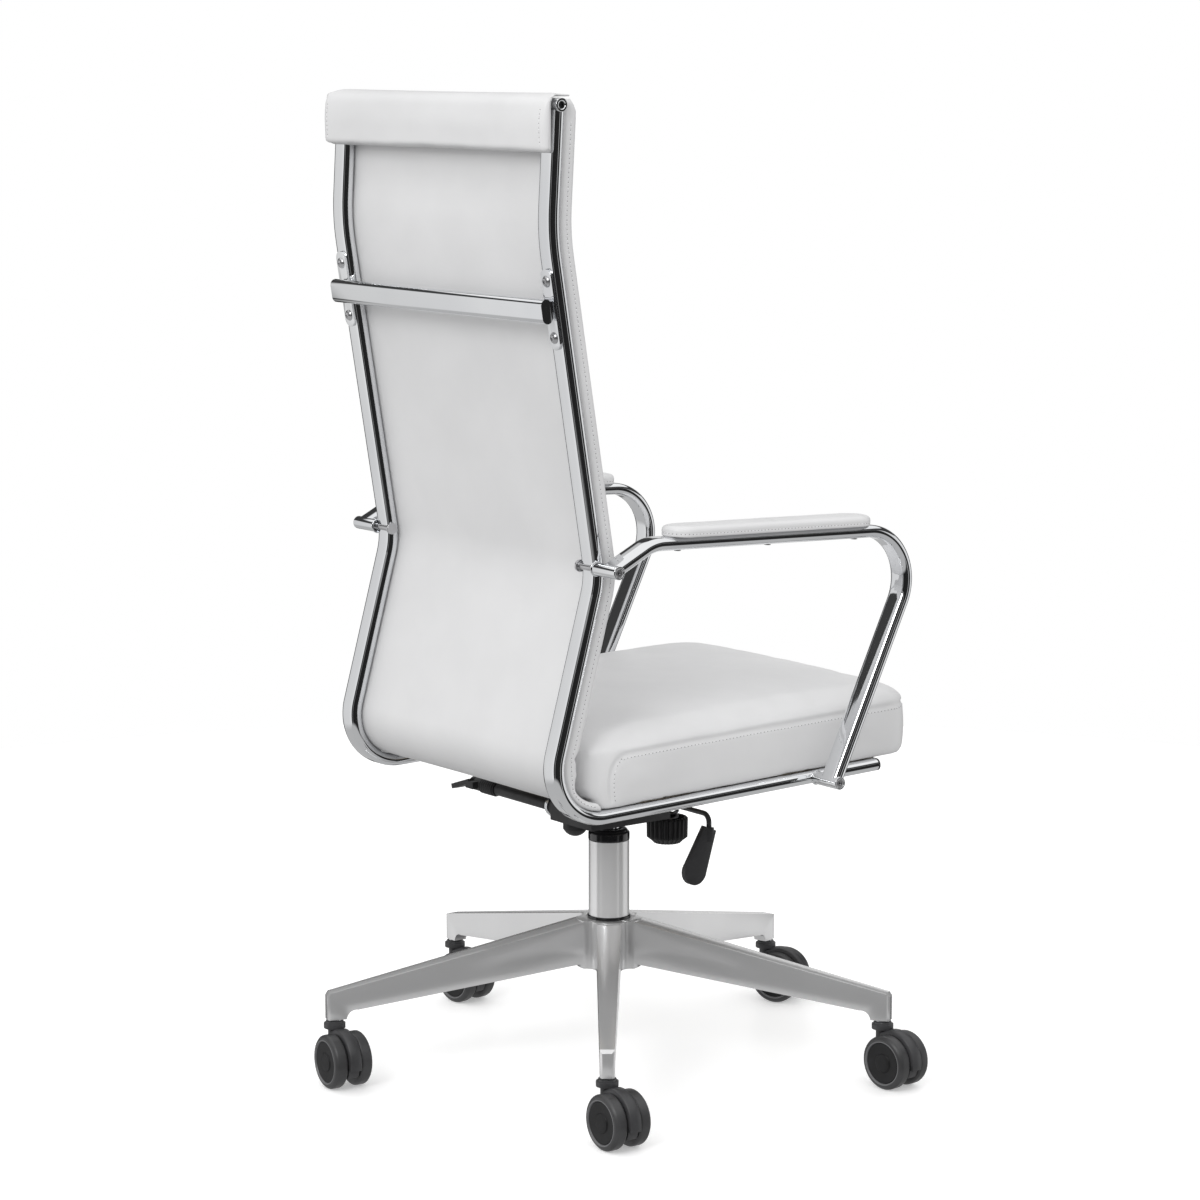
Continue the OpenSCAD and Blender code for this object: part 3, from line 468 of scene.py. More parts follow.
def sew(name, points, tree, body, pitch=0.0052, long=0.0036, thick=0.00042, lift=0.0002):
    """Row of raised stitches, with small dark cones painted as the shade in their needle holes, laid on a
    surface along a line.
    """
    bm = bmesh.new()
    row = resample(points, pitch)
    sides, rows = 6, 4
    for a, b in zip(row, row[1:]):
        spot, up = tree.find_nearest((a + b) / 2)[:2]
        along = (b - a).normalized()
        along = (along - up * along.dot(up)).normalized()
        across = up.cross(along)
        rings = []
        for i in range(rows + 1):
            t = i / rows * 2 - 1
            r = thick * math.sqrt(max(0.12, 1 - t ** 4))
            centre = spot + along * (t * long / 2) + up * (lift - thick * 0.9 * t * t)
            rings.append([bm.verts.new(centre + across * r * 1.2 * math.cos(TAU * k / sides)
                                       + up * r * math.sin(TAU * k / sides)) for k in range(sides)])
        for p, q in zip(rings, rings[1:]):
            for k in range(sides):
                bm.faces.new((p[k], p[(k + 1) % sides], q[(k + 1) % sides], q[k]))
        bm.faces.new(rings[0])
        bm.faces.new(list(reversed(rings[-1])))
        # Small dark double cone set into the surface at each hole: painted shade of the hole, not a real
        # opening.
        hole = spot + along * (pitch / 2)
        disc = [bm.verts.new(hole + (along * math.cos(TAU * k / 6) + across * math.sin(TAU * k / 6)) * 0.00055
                             + up * 0.00005) for k in range(6)]
        top = bm.verts.new(hole + up * 0.0001)
        under = bm.verts.new(hole - up * 0.0004)
        for k in range(6):
            for tip in (top, under):
                f = bm.faces.new((disc[k], disc[(k + 1) % 6], tip))
                f.material_index = 1
    return finish_mesh(name, bm, [THREAD, HOLE_SHADE], body)


def groove(obj, line, width, depth):
    """Presses a sewn channel into a mesh along a line of points."""
    pts = resample(line, width * 0.3)
    tree = KDTree(len(pts))
    for i, p in enumerate(pts):
        tree.insert(p, i)
    tree.balance()
    normals = [v.normal.copy() for v in obj.data.vertices]
    for v, n in zip(obj.data.vertices, normals):
        d = tree.find(v.co)[2]
        if d < width:
            v.co -= n * depth * (0.5 + 0.5 * math.cos(math.pi * d / width))


def tree_of(obj):
    bm = bmesh.new()
    bm.from_mesh(obj.data)
    tree = BVHTree.FromBMesh(bm)
    bm.free()
    return tree


def remesh(obj, voxel):
    mod = obj.modifiers.new("remesh", "REMESH")
    mod.mode, mod.voxel_size, mod.use_smooth_shade = "VOXEL", voxel, True
    apply_modifiers(obj)


def relax(obj, factor, times):
    mod = obj.modifiers.new("smooth", "SMOOTH")
    mod.factor, mod.iterations = factor, times
    apply_modifiers(obj)


def subdivide(obj, levels=1):
    mod = obj.modifiers.new("subdivide", "SUBSURF")
    mod.levels = mod.render_levels = levels
    apply_modifiers(obj)
    smooth_all(obj)


def smooth_all(obj):
    for p in obj.data.polygons:
        p.use_smooth = True


def inflate(obj, pressure, cap, voxel=0.006, frames=20):
    """Voxel remesh, cloth pressure, and a cap on how far each point may move."""
    remesh(obj, voxel)
    rest = [v.co.copy() for v in obj.data.vertices]
    scene = bpy.context.scene
    mod = obj.modifiers.new("cloth", "CLOTH")
    s = mod.settings
    s.quality, s.mass = 5, 0.3
    s.tension_stiffness = s.compression_stiffness = 15
    s.shear_stiffness, s.bending_stiffness = 5, 0.5
    s.use_pressure, s.uniform_pressure_force = True, pressure
    s.effector_weights.gravity = 0
    scene.frame_start, scene.frame_end = 1, frames
    mod.point_cache.frame_start, mod.point_cache.frame_end = 1, frames
    for f in range(1, frames + 1):
        scene.frame_set(f)
    apply_modifiers(obj)
    scene.frame_set(1)
    for v, p in zip(obj.data.vertices, rest):
        move = v.co - p
        if move.length > cap:
            v.co = p + move.normalized() * cap
    relax(obj, 0.5, 3)


# ---------- side frames ----------

def side_tubes():
    rail_st = stations(RAIL_PATH, RAIL_BENDS, 2.0, 0.03)
    arm_st = stations(ARM_PATH, ARM_BENDS, 2.0, 0.03)
    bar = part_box("top_bar")
    bar_y, bar_z = (bar[0].y + bar[1].y) / 2, (bar[0].z + bar[1].z) / 2
    bar_r = (bar[1].z - bar[0].z) / 2
    for s, side in ((-1, "right"), (1, "left")):
        x = s * RAIL_X
        tube(f"rail_tube_{side}", x, rail_st, "seat", [f"side_rail_{side}"])
        edge = TUBE_W / 2
        end = rounded([(0, -edge - 0.0002), (bar_r, -edge - 0.0002), (bar_r, edge + 0.0012),
                       (bar_r - 0.0026, edge + 0.0012), (bar_r - 0.0032, edge + 0.0004),
                       (0.0028, edge + 0.0004)], 0.0007)
        lathe(f"rail_end_{side}", end, (x, bar_y, bar_z), (s, 0, 0), CHROME, "seat", segs=64)
        hex_cup(f"rail_end_socket_{side}", (x + s * (edge + 0.0004), bar_y, bar_z), (s, 0, 0), 0.0028, 0.003)
        tube(f"arm_tube_{side}", s * ARM_X, arm_st, "seat", [f"arm_{side}"])
        for i, (y, z) in enumerate((ARM_PATH[0], ARM_PATH[-1])):
            inner, outer = RAIL_X + TUBE_W / 2 - 0.001, ARM_X + TUBE_W / 2 + 0.002
            post = rounded([(0, inner), (POST_R, inner), (POST_R, outer), (0.0056, outer),
                            (0.0054, outer - 0.0018), (0, outer - 0.0018)], 0.0008)
            lathe(f"arm_post_{side}_{i + 1}", post, (0, y, z), (s, 0, 0), CHROME, "seat", segs=72)
            weld_bead(f"arm_weld_{side}_{i + 1}", (s * (RAIL_X + TUBE_W / 2), y, z), (s, 0, 0))
            head = rounded([(0.0023, outer - 0.0022), (0.0051, outer - 0.0022), (0.0051, outer - 0.0006),
                            (0.0043, outer - 0.0001), (0.0023, outer - 0.0001)], 0.0004)
            lathe(f"arm_screw_{side}_{i + 1}", head, (0, y, z), (s, 0, 0), STEEL, "seat", segs=40)
            hex_cup(f"arm_screw_socket_{side}_{i + 1}", (s * (outer - 0.0001), y, z), (s, 0, 0),
                    0.0024, 0.0028)
    lathe("top_bar_tube", [(bar_r, -RAIL_X + 0.0148), (bar_r, RAIL_X - 0.0148)],
          (0, bar_y, bar_z), (1, 0, 0), CHROME, "seat", ["top_bar"], 64)


def hex_cup(name, centre, axis, r, depth):
    """Six-sided socket: sunk walls below a screw's rim, coloured dark as painted shade inside the socket."""
    m = axis_frame(centre, axis)
    bm = bmesh.new()
    turns = [TAU * k / 6 for k in range(6)]
    rim = [bm.verts.new(m @ Vector((r * math.cos(a), r * math.sin(a), 0.00005))) for a in turns]
    low = [bm.verts.new(m @ Vector((r * 0.95 * math.cos(a), r * 0.95 * math.sin(a), -depth))) for a in turns]
    for k in range(6):
        bm.faces.new((rim[k], rim[(k + 1) % 6], low[(k + 1) % 6], low[k]))
    bm.faces.new(low)
    # The socket walls take the dark steel colour as painted shade, darker than the screw head or end disc
    # around them.
    finish_mesh(name, bm, SPRING_STEEL_AND_SOCKET_SHADE, "seat", smooth=False)


def weld_bead(name, centre, axis):
    """Small fillet where a post meets a rail."""
    m = axis_frame(centre, axis)
    rings = []
    for k in range(72):
        a = TAU * k / 72
        c = m @ Vector((POST_R * math.cos(a), POST_R * math.sin(a), -0.0003))
        out = (m.to_3x3() @ Vector((math.cos(a), math.sin(a), 0))).normalized()
        up = m.to_3x3() @ Vector((0, 0, 1))
        r = 0.0012 * (1 + 0.08 * math.sin(18 * a))
        rings.append([c + out * r * math.cos(TAU * j / 8) + up * r * math.sin(TAU * j / 8) for j in range(8)])
    finish_mesh(name, skin(rings, loop=True), CHROME, "seat")


def crossbar():
    """Flat-oval bar behind the back, its ends pressed into tall plates, and four domed screws."""
    copy_cad("back_crossbar", "crossbar_body", CHROME, 0.0012, 3)
    copy_cad("crossbar_screws", "crossbar_screw_set", STEEL, 0.0004, 2)


# ---------- column, base and casters ----------

def column():
    lo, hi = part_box("column_tube")
    r = (hi.x - lo.x) / 2
    shape = [(r - 0.003, lo.z), (r - 0.0006, lo.z), (r, lo.z + 0.0006), (r, hi.z), (r - 0.002, hi.z),
             (r - 0.002, lo.z + 0.003)]
    lathe("column_outer_tube", shape, (0, 0, 0), (0, 0, 1), SATIN, "base", ["column_tube"], 96)
    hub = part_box("base_star")[1].z
    ring = rounded([(r + 0.0002, hub - 0.002), (r + 0.0016, hub - 0.002), (r + 0.0016, hub + 0.0028),
                    (r + 0.0002, hub + 0.0034)], 0.0006)
    lathe("column_foot_ring", ring, (0, 0, 0), (0, 0, 1), GLOSSY, "base", segs=96)
    glo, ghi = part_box("column_guide")
    g = (ghi.x - glo.x) / 2
    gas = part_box("gas_tube")
    gr = (gas[1].x - gas[0].x) / 2
    z = hi.z
    collar = rounded([(gr + 0.0002, z - 0.01), (g - 0.001, z - 0.002), (g, z + 0.0008), (g, z + 0.0085),
                      (g - 0.0012, z + 0.0105), (g - 0.0022, z + 0.0108), (g - 0.0030, ghi.z - 0.0012),
                      (g - 0.0050, ghi.z), (gr + 0.0025, ghi.z), (gr + 0.0010, ghi.z - 0.0012),
                      (gr + 0.0002, ghi.z - 0.004)], 0.0010)
    lathe("column_collar", collar, (0, 0, 0), (0, 0, 1), GLOSSY, "base", ["column_guide"], 96)
    gz0, gz1 = gas[0].z, gas[1].z
    lathe("gas_lift_tube", rounded([(0.0056, gz0), (gr - 0.001, gz0), (gr, gz0 + 0.001), (gr, gz1 - 0.001),
                                    (gr - 0.001, gz1), (0.004, gz1)], 0.0004),
          (0, 0, 0), (0, 0, 1), CHROME, "mechanism", ["gas_tube"], 96)


def base():
    copy_cad("base_star", "star_casting", POLISHED, 0.0022, 3, 28)
    give("caster_stems", STEEL)


def caster_place(k, x, y, z):
    a, t = LEG_TURN[k], CASTER_TURN[k]
    c, s = math.cos(t), math.sin(t)
    return Vector((STEM_RADIUS * math.cos(a) + x * c - y * s, STEM_RADIUS * math.sin(a) + x * s + y * c, z))


def wheel_profile():
    r, w = WHEEL_R, WHEEL_W
    return rounded([(r * 0.74, 0.0006), (r - 0.0022, 0.0), (r, 0.0022), (r, w - 0.0036),
                    (r - 0.0032, w - 0.0006), (r - 0.0058, w - 0.0003)], 0.0016, 5)


def casters():
    r, w = WHEEL_R, WHEEL_W
    for k in range(5):
        for label in ("inner", "outer"):
            node = f"caster_wheel_{label}_{k + 1}"
            body = BODY_OF[node]
            lo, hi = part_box(node)
            centre = (lo + hi) / 2
            inboard = caster_place(k, -TRAIL, 0, r)
            out = Vector((centre.x - inboard.x, centre.y - inboard.y, 0)).normalized()
            origin = inboard + out * WHEEL_GAP / 2
            lathe(f"wheel_tread_{label}_{k + 1}", wheel_profile(), origin, out, TREAD, body, [node], 96)
            rim = rounded([(r - 0.0060, w - 0.0006), (r - 0.0058, w + 0.0), (r - 0.0070, w + 0.0),
                           (r - 0.0074, w - 0.0010), (r - 0.0078, w - 0.0016)], 0.0003)
            lathe(f"wheel_rim_{label}_{k + 1}", rim, origin, out, RIM, body, segs=96)
            disc = rounded([(r - 0.0076, w - 0.0018), (r - 0.0086, w - 0.0009), (0.0118, w - 0.0021),
                            (0.0110, w - 0.0008), (0.0070, w - 0.0004), (0.0, w - 0.0006)], 0.0008)
            lathe(f"wheel_disc_{label}_{k + 1}", disc, origin, out, DISC, body, segs=96)
            back = rounded([(r * 0.74, 0.0006), (r * 0.70, 0.0068), (r * 0.36, 0.0082), (r * 0.34, 0.0004),
                            (0.0044, 0.0004)], 0.0008)
            lathe(f"wheel_back_{label}_{k + 1}", back, origin, out, DISC, body, segs=72)
        copy_cad(f"caster_housing_{k + 1}", f"caster_hood_{k + 1}", HOOD, 0.0009, 2)
        give(f"caster_axle_{k + 1}", STEEL)
        caster_hood_shell(k)


def caster_hood_shell(k):
    """Curved fender over the top and trailing side of the wheels, open towards the floor."""
    body = BODY_OF[f"caster_housing_{k + 1}"]
    r_in, thick, half = WHEEL_R + 0.0016, 0.0024, WHEEL_GAP / 2 - 0.0009
    arcs = 40
    a0, a1 = math.radians(20), math.radians(190)
    rings = []
    for i in range(arcs + 1):
        a = a0 + (a1 - a0) * i / arcs
        ease = min(1, i / 4, (arcs - i) / 4)
        t = thick * (0.55 + 0.45 * ease)
        ring = []
        for u, rr in ((-half, r_in - 0.006), (-half, r_in + t * 0.4), (-half * 0.8, r_in + t),
                      (half * 0.8, r_in + t), (half, r_in + t * 0.4), (half, r_in - 0.006)):
            ring.append(caster_place(k, -TRAIL + rr * math.cos(a), u, WHEEL_R + rr * math.sin(a)))
        rings.append(ring)
    obj = finish_mesh(f"caster_fender_{k + 1}", skin(rings), HOOD, body)
    sharp_by_angle(obj, 50)


# ---------- mechanism ----------

def knob():
    lo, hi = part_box("tension_knob")
    c = (lo + hi) / 2
    r, h = (hi.x - lo.x) / 2, hi.z - lo.z
    ribs, per = 24, 8
    # radius, height and how far the ribs stand out there
    rows = [(0.0, 0.0, 0), (r - 0.0125, 0.0, 0), (r - 0.0095, 0.0006, 0.2), (r - 0.0060, 0.0048, 0.6),
            (r - 0.0040, 0.0066, 1), (r - 0.0022, 0.0080, 1), (r - 0.0018, h - 0.0020, 1),
            (r - 0.0026, h - 0.0005, 0.5), (r - 0.0040, h, 0), (r - 0.0050, h - 0.001, 0),
            (r - 0.0056, 0.0065, 0), (0.0048, 0.0062, 0)]
    segs = ribs * per
    bm = bmesh.new()
    rings = []
    for rr, z, amount in rows:
        ring = []
        for k in range(segs if rr else 1):
            wave = max(-1, min(1, 1.6 * math.cos(TAU * k / per)))
            q = rr + amount * 0.0016 * wave
            a = TAU * k / segs
            ring.append(bm.verts.new((c.x + q * math.cos(a), c.y + q * math.sin(a), lo.z + z)))
        rings.append(ring)
    obj = finish_mesh("tension_knob_grip", bridge(bm, rings, segs), MATTE, "knob", ["tension_knob"])
    sharp_by_angle(obj, 40)


# Mechanism and seat parts kept close to their CAD shape: node, piece, material, edge width, edge steps
EDGED = [
    ("mechanism_housing", "mechanism_case", PAINT, 0.0010, 2),
    ("mechanism_cover", "mechanism_cup", MATTE, 0.0010, 2),
    ("tilt_plate", "tilt_plate_pressing", PAINT, 0.0008, 2),
    ("lift_paddle", "lift_paddle_blade", MATTE, 0.0016, 3),
    ("lock_paddle", "lock_paddle_blade", MATTE, 0.0012, 3),
    ("lift_lever_rod", "lift_lever_wire", PAINT, 0.0006, 2),
    ("lock_lever_shaft", "lock_lever_bar", PAINT, 0.0008, 2),
    ("frame_bolts", "frame_bolt_set", STEEL, 0.0005, 2),
    ("tension_bolt", "tension_bolt_body", STEEL, 0.0004, 2),
    ("tilt_pivot_pin", "tilt_pivot_rod", STEEL, 0.0006, 2),
    ("cross_member_front", "front_cross_tube", PAINT, 0.0, 2),
    ("cross_member_rear", "rear_cross_tube", PAINT, 0.0, 2),
    ("rail_plugs", "rail_foot_plugs", MATTE, 0.0006, 2),
    ("arm_bolts", "arm_bolt_set", STEEL, 0.0003, 1),
    ("arm_pad_screws", "arm_pad_screw_set", STEEL, 0.0003, 1),
    ("seat_board", "seat_plywood", PLY, 0.0010, 2),
]


def mechanism():
    for row in EDGED:
        copy_cad(*row)
    for node in ("tension_spring", "thrust_bearing", "piston_rod", "release_pin", "top_bar_screws"):
        give(node, SPRING_STEEL_AND_SOCKET_SHADE if node == "tension_spring" else STEEL)
    ring_arc()
    lock_neck()


def ring_arc():
    """Bright ring round the boss of the lock lever."""
    lo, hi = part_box("lock_lever_shaft")
    y, z = (lo.y + hi.y) / 2, (lo.z + hi.z) / 2
    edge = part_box("mechanism_housing")[1].x
    shape = rounded([(0.0088, edge + 0.0004), (0.0125, edge + 0.0004), (0.0125, edge - 0.0020),
                     (0.0134, edge - 0.0030), (0.0134, edge - 0.0060), (0.0122, edge - 0.0064)], 0.0006)
    lathe("lock_boss_ring", shape, (0, y, z), (1, 0, 0), CHROME, "mechanism", segs=72)


def lock_neck():
    """Ribbed rubber neck on the lock lever beside its blade."""
    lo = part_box("lock_paddle")[0]
    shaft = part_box("lock_lever_shaft")
    y, z = (shaft[0].y + shaft[1].y) / 2, (shaft[0].z + shaft[1].z) / 2
    x0, count, pitch, r = lo.x + 0.002, 7, 0.0042, 0.0086
    shape = [(0.0078, x0)]
    for i in range(count):
        x = x0 + i * pitch
        shape += [(r + 0.0012, x + 0.0006), (r + 0.0012, x + pitch - 0.0016), (r, x + pitch - 0.0010)]
    shape.append((0.0078, x0 + count * pitch))
    lathe("lock_lever_grip", rounded(shape, 0.0005, 2), (0, y, z), (1, 0, 0), MATTE, "lock_lever", segs=56)


# ---------- upholstery ----------

BACK_HALF = RAIL_X + 0.009
FLAT_TURN = math.radians(3.2)
PANEL_ARC, PANEL_ACROSS = 7, 40


def back_stations():
    """Stations of the padded back, from its top edge down and forward to the end of the flange."""
    st = stations(RAIL_PATH, RAIL_BENDS, 3.0, 0.011)
    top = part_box("back_panel")[1].z
    y, z, turn = st[0]
    kept = [(y, top - 0.0005, turn), (y, (top + z) / 2, turn)]
    for q in st:
        kept.append(q)
        if abs(abs(q[2]) - math.pi) < FLAT_TURN and q[1] < SEAT_Z + 0.02:
            break
    return kept


def panel_thickness(i, st):
    """Full back thickness down to the lower corner, then the thin flange."""
    q = st[i]
    turn = abs(signed_turn(q[2] + math.radians(93)))
    fade = min(1, max(0, (math.degrees(turn) - 8) / 30)) if q[1] < SEAT_Z + 0.08 else 0
    fade = fade * fade * (3 - 2 * fade)
    return BACK_T + (FLANGE_T - BACK_T) * fade


def signed_turn(a):
    return (a + math.pi) % TAU - math.pi


def back_panel():
    st = back_stations()
    rear = TUBE_R + GAP + 0.0002
    half = BACK_HALF - 0.0008
    rings = []
    for i, q in enumerate(st):
        t = panel_thickness(i, st) - 0.0006
        end = min(i, len(st) - 1 - i)
        soft = 1 - 0.45 * max(0, 1 - end / 2.5) ** 2
        t *= soft
        ring = panel_outline(half, min(t * 0.46, 0.0085), rear, t)
        rings.append([beside(q, x, -o) for x, o in ring])
    obj = finish_mesh("back_pad", skin(rings), WHITE, None)
    soften_back(obj, st, rear, half)
    attach(obj, "seat", ["back_panel"])
    tree = tree_of(obj)
    for s, side in ((-1, "right"), (1, "left")):
        mid_line = [beside(q, s * half, -(rear + panel_thickness(i, st) * 0.5)) for i, q in enumerate(st)]
        sew(f"back_edge_stitch_{side}", mid_line[3:-2], tree, "seat")
        front = [beside(q, s * (half - 0.016), -(rear + panel_thickness(i, st))) for i, q in enumerate(st)]
        sew(f"back_front_stitch_{side}", front[3:-2], tree, "seat")


def panel_outline(half, r, rear, t):
    """Closed outline of the padded back, from the rear middle round both sides."""
    pts = []
    flat = half - r
    quarter = [math.pi / 2 * k / PANEL_ARC for k in range(1, PANEL_ARC + 1)]
    for k in range(PANEL_ACROSS + 1):
        pts.append((-flat + 2 * flat * k / PANEL_ACROSS, rear))
    pts += [(flat + r * math.sin(a), rear + r - r * math.cos(a)) for a in quarter]
    pts += [(flat + r * math.cos(a), rear + t - r + r * math.sin(a)) for a in quarter]
    for k in range(1, PANEL_ACROSS + 1):
        pts.append((flat - 2 * flat * k / PANEL_ACROSS, rear + t))
    pts += [(-flat - r * math.sin(a), rear + t - r + r * math.cos(a)) for a in quarter]
    pts += [(-flat - r * math.cos(a), rear + r - r * math.sin(a)) for a in quarter[:-1]]
    return pts


def soften_back(obj, st, rear, half):
    """Gentle crown, pull lines and sewn channels on the padded back."""
    ring = len(obj.data.vertices) // len(st)
    front = range(PANEL_ACROSS + PANEL_ARC + 1, 2 * PANEL_ACROSS + 2 * PANEL_ARC + 2)
    wrap_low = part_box("head_roll")[0].z + 0.004
    for v in obj.data.vertices:
        u = v.co.x / half
        edge = max(0.0, 1 - abs(u) ** 6)
        wob = noise.noise(Vector((v.co.x * 5, v.co.y * 5, v.co.z * 4)))
        fine = noise.noise(Vector((v.co.x * 16 + 3, v.co.y * 9, v.co.z * 20)))
        swell = 0.0042 * (1 - u * u) if v.index % ring in front else -0.0006
        swell *= max(0.0, min(1.0, (v.co.z - SEAT_Z - 0.15) / 0.12)) if swell > 0 else 1
        v.co += v.normal * edge * (0.0011 * wob + 0.0004 * fine + swell)
        below = (wrap_low - v.co.z) / 0.075
        if v.index % ring <= PANEL_ACROSS and 0 < below < 1:
            v.co.y -= 0.0058 * (1 - u * u) * math.sin(math.pi * below) ** 2
    for s in (-1, 1):
        line = [beside(q, s * (half - 0.016), -(rear + panel_thickness(i, st))) for i, q in enumerate(st)]
        groove(obj, line, 0.006, 0.0012)


def head_wrap():
    """Soft wrap: the front cover turned over the top bar and hanging behind the rails."""
    lo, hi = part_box("head_roll")
    half = hi.x - 0.0008
    front, rear, top, low = lo.y + 0.0006, hi.y + 0.0012, hi.z - 0.0006, lo.z + 0.0010
    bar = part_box("top_bar")
    under = bar[1].z + 0.0009
    bar_y = (bar[0].y + bar[1].y) / 2
    lean = (RAIL_PATH[1][0] - RAIL_PATH[0][0]) / (RAIL_PATH[0][1] - RAIL_PATH[1][1])
    hang = RAIL_PATH[0][0] + (RAIL_PATH[0][1] - low) * lean + TUBE_R + 0.0007
    corners = [(front, under, 0.0006), (front, under + 0.0026, 0.0012), (bar_y - 0.010, top - 0.0012, 0.006),
               (bar_y + 0.004, top, 0.012), (rear - 0.0035, top - 0.0085, 0.012),
               (rear + 0.0004, low + 0.036, 0.060), (rear - 0.0012, low + 0.0010, 0.0062),
               (hang, low, 0.0038), (hang, under, 0.0012)]
    outline = closed_round([c[:2] for c in corners], [c[2] for c in corners], 7)
    outline = [q[:2] for q in resample([(y, z, 0) for y, z in outline + outline[:1]], 0.0022)][:-1]
    mid = hang + (rear - hang) / 2
    spine = [Vector((front + 0.002, under + 0.0014, 0)), Vector((bar_y, (under + top) / 2, 0)),
             Vector((mid, under - 0.001, 0)), Vector((mid, low + 0.006, 0))]
    cores = [nearest_on(spine, Vector((y, z, 0))) for y, z in outline]
    slices = 168
    rings = []
    for i in range(slices + 1):
        x = -half + 2 * half * i / slices
        end = half - abs(x)
        pinch = 0.16 + 0.84 * math.sqrt(max(0.0, 1 - (1 - min(1, end / 0.0075)) ** 2))
        wave = 0.5 * noise.noise(Vector((x * 9, 2.0, 0.5))) + 0.25 * noise.noise(Vector((x * 27, 5.0, 0)))
        sag = math.cos(math.pi * x / (2 * half))
        ring = []
        for (y, z), core in zip(outline, cores):
            py, pz = core.x + (y - core.x) * pinch, core.y + (z - core.y) * pinch
            if y > hang + 0.002:
                fold = noise.noise(Vector((x * 11, z * 26, 7.0)))
                fold += 0.5 * noise.noise(Vector((x * 30, z * 40, 3.0)))
                hem = max(0.0, min(1.0, (low + 0.024 - z) / 0.024))
                py += 0.0008 * fold * min(1, end / 0.02)
                pz += hem * (0.0030 * (0.5 + wave) + 0.0016 * sag)
            if z > under + 0.0022:
                pz -= 0.0016 * sag * (z - under - 0.0022) / (top - under)
            tuck = 1 - 0.10 * max(0.0, min(1.0, (hang + 0.001 - y) / 0.024)) if z > under - 0.001 else 1
            ring.append(Vector((x * tuck, py, pz)))
        rings.append(ring)
    obj = finish_mesh("head_wrap", skin(rings), WHITE, None)
    smooth_all(obj)
    attach(obj, "seat", ["head_roll"])
    tree = tree_of(obj)
    for s, side in ((-1, "right"), (1, "left")):
        line = [Vector((s * (half - 0.0090), rear + 0.002, low + 0.007 + (top - low - 0.020) * k / 24))
                for k in range(25)]
        sew(f"wrap_end_stitch_{side}", line, tree, "seat")


def nearest_on(line, point):
    """Closest point to a point on a polyline."""
    best = None
    for a, b in zip(line, line[1:]):
        t = max(0.0, min(1.0, (point - a).dot(b - a) / (b - a).length_squared))
        q = a + (b - a) * t
        if best is None or (q - point).length < (best - point).length:
            best = q
    return best


def closed_round(points, radii, steps):
    out = []
    n = len(points)
    for i, (p, r) in enumerate(zip(points, radii)):
        b = Vector(p)
        va, vc = Vector(points[i - 1]) - b, Vector(points[(i + 1) % n]) - b
        cut = min(r, va.length * 0.48, vc.length * 0.48)
        p0, p1 = b + va.normalized() * cut, b + vc.normalized() * cut
        for k in range(steps + 1):
            t = k / steps
            out.append((1 - t) ** 2 * p0 + 2 * t * (1 - t) * b + t ** 2 * p1)
    return out


def seat_point(x, y, up):
    """Point at height up above the seat rail line."""
    c, s = math.cos(math.atan(SLOPE)), math.sin(math.atan(SLOPE))
    return Vector((x, y + up * s, SEAT_Z - y * SLOPE + up * c))


def seat_cushion():
    lo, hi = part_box("seat_cushion")
    half = hi.x - SEAT_SIDE_INSET
    front, rear = lo.y + SEAT_FRONT_INSET, 0.196
    bottom = TUBE_R + GAP + 0.0004
    side_top = 0.068
    crown, corner = 0.026, SEAT_CORNER
    obj = finish_mesh("seat_pad", cushion_bm(half, front, rear, bottom, side_top, crown, corner), WHITE, None)
    trim_rear(obj)
    inflate(obj, 4.0, 0.006)
    fit_seat(obj, lo, hi)
    subdivide(obj)
    press_down(obj, bottom)
    fit_seat(obj, lo, hi)
    tree = tree_of(obj)
    seam = seam_line(tree, half, front, rear, bottom, side_top, corner)
    groove(obj, seam, 0.0050, 0.0021)
    smooth_all(obj)
    attach(obj, "seat", ["seat_cushion"])
    tree = tree_of(obj)
    sew("seat_stitch", [tree.find_nearest(p + inward(p, seam, 0.0046))[0] for p in seam], tree, "seat")


def cushion_bm(half, front, rear, bottom, side_top, crown, corner):
    """Closed box with round plan corners, a crowned top and sides that bulge a little."""
    n_arc = 10
    plan = []
    for cx, cy, a0 in ((half - corner, rear - corner, 0), (-half + corner, rear - corner, 90),
                       (-half + corner, front + corner, 180), (half - corner, front + corner, 270)):
        for k in range(n_arc + 1):
            a = math.radians(a0 + 90 * k / n_arc)
            plan.append((cx + corner * math.cos(a), cy + corner * math.sin(a)))
    plan = [p[:2] for p in resample([(x, y, 0) for x, y in plan + plan[:1]], 0.012)]
    mid_y = (front + rear) / 2
    rings = []
    levels = [(-0.016, 0.0), (-0.004, 0.0), (0.0, 0.005)]
    for k in range(1, 9):
        t = k / 9
        levels.append((0.0016 * math.sin(math.pi * t), side_top * t))
    levels += [(0.0, side_top - 0.001), (-0.003, side_top + 0.0025), (-0.010, side_top + 0.006),
               (-0.022, side_top + 0.0095)]
    for inset, up in levels:
        rings.append([seat_point(*shrink(p, -inset, half, front, rear), bottom + up) for p in plan])
    for k in range(1, 13):
        t = k / 13
        ring = []
        for p in plan:
            q = shrink(p, 0.022, half, front, rear)
            x, y = q[0] * (1 - t), mid_y + (q[1] - mid_y) * (1 - t)
            u = abs(x) / half
            v = abs(y - mid_y) / (rear - mid_y)
            rise = 0.0095 + (crown - 0.0095) * (1 - u ** 2.2) * (1 - v ** 3.0)
            ring.append(seat_point(x, y, bottom + side_top + rise))
        rings.append(ring)
    return skin(rings)


def shrink(p, amount, half, front, rear):
    mid_y = (front + rear) / 2
    return (p[0] * (1 - amount / half), mid_y + (p[1] - mid_y) * (1 - amount / (rear - mid_y)))


def back_front_limit(z):
    """Furthest-back y that the cushion may reach at height z, in front of the padded back."""
    best = None
    for q in LIMIT_LINE:
        if best is None or abs(q[1] - z) < abs(best[1] - z):
            best = q
    return best[0]


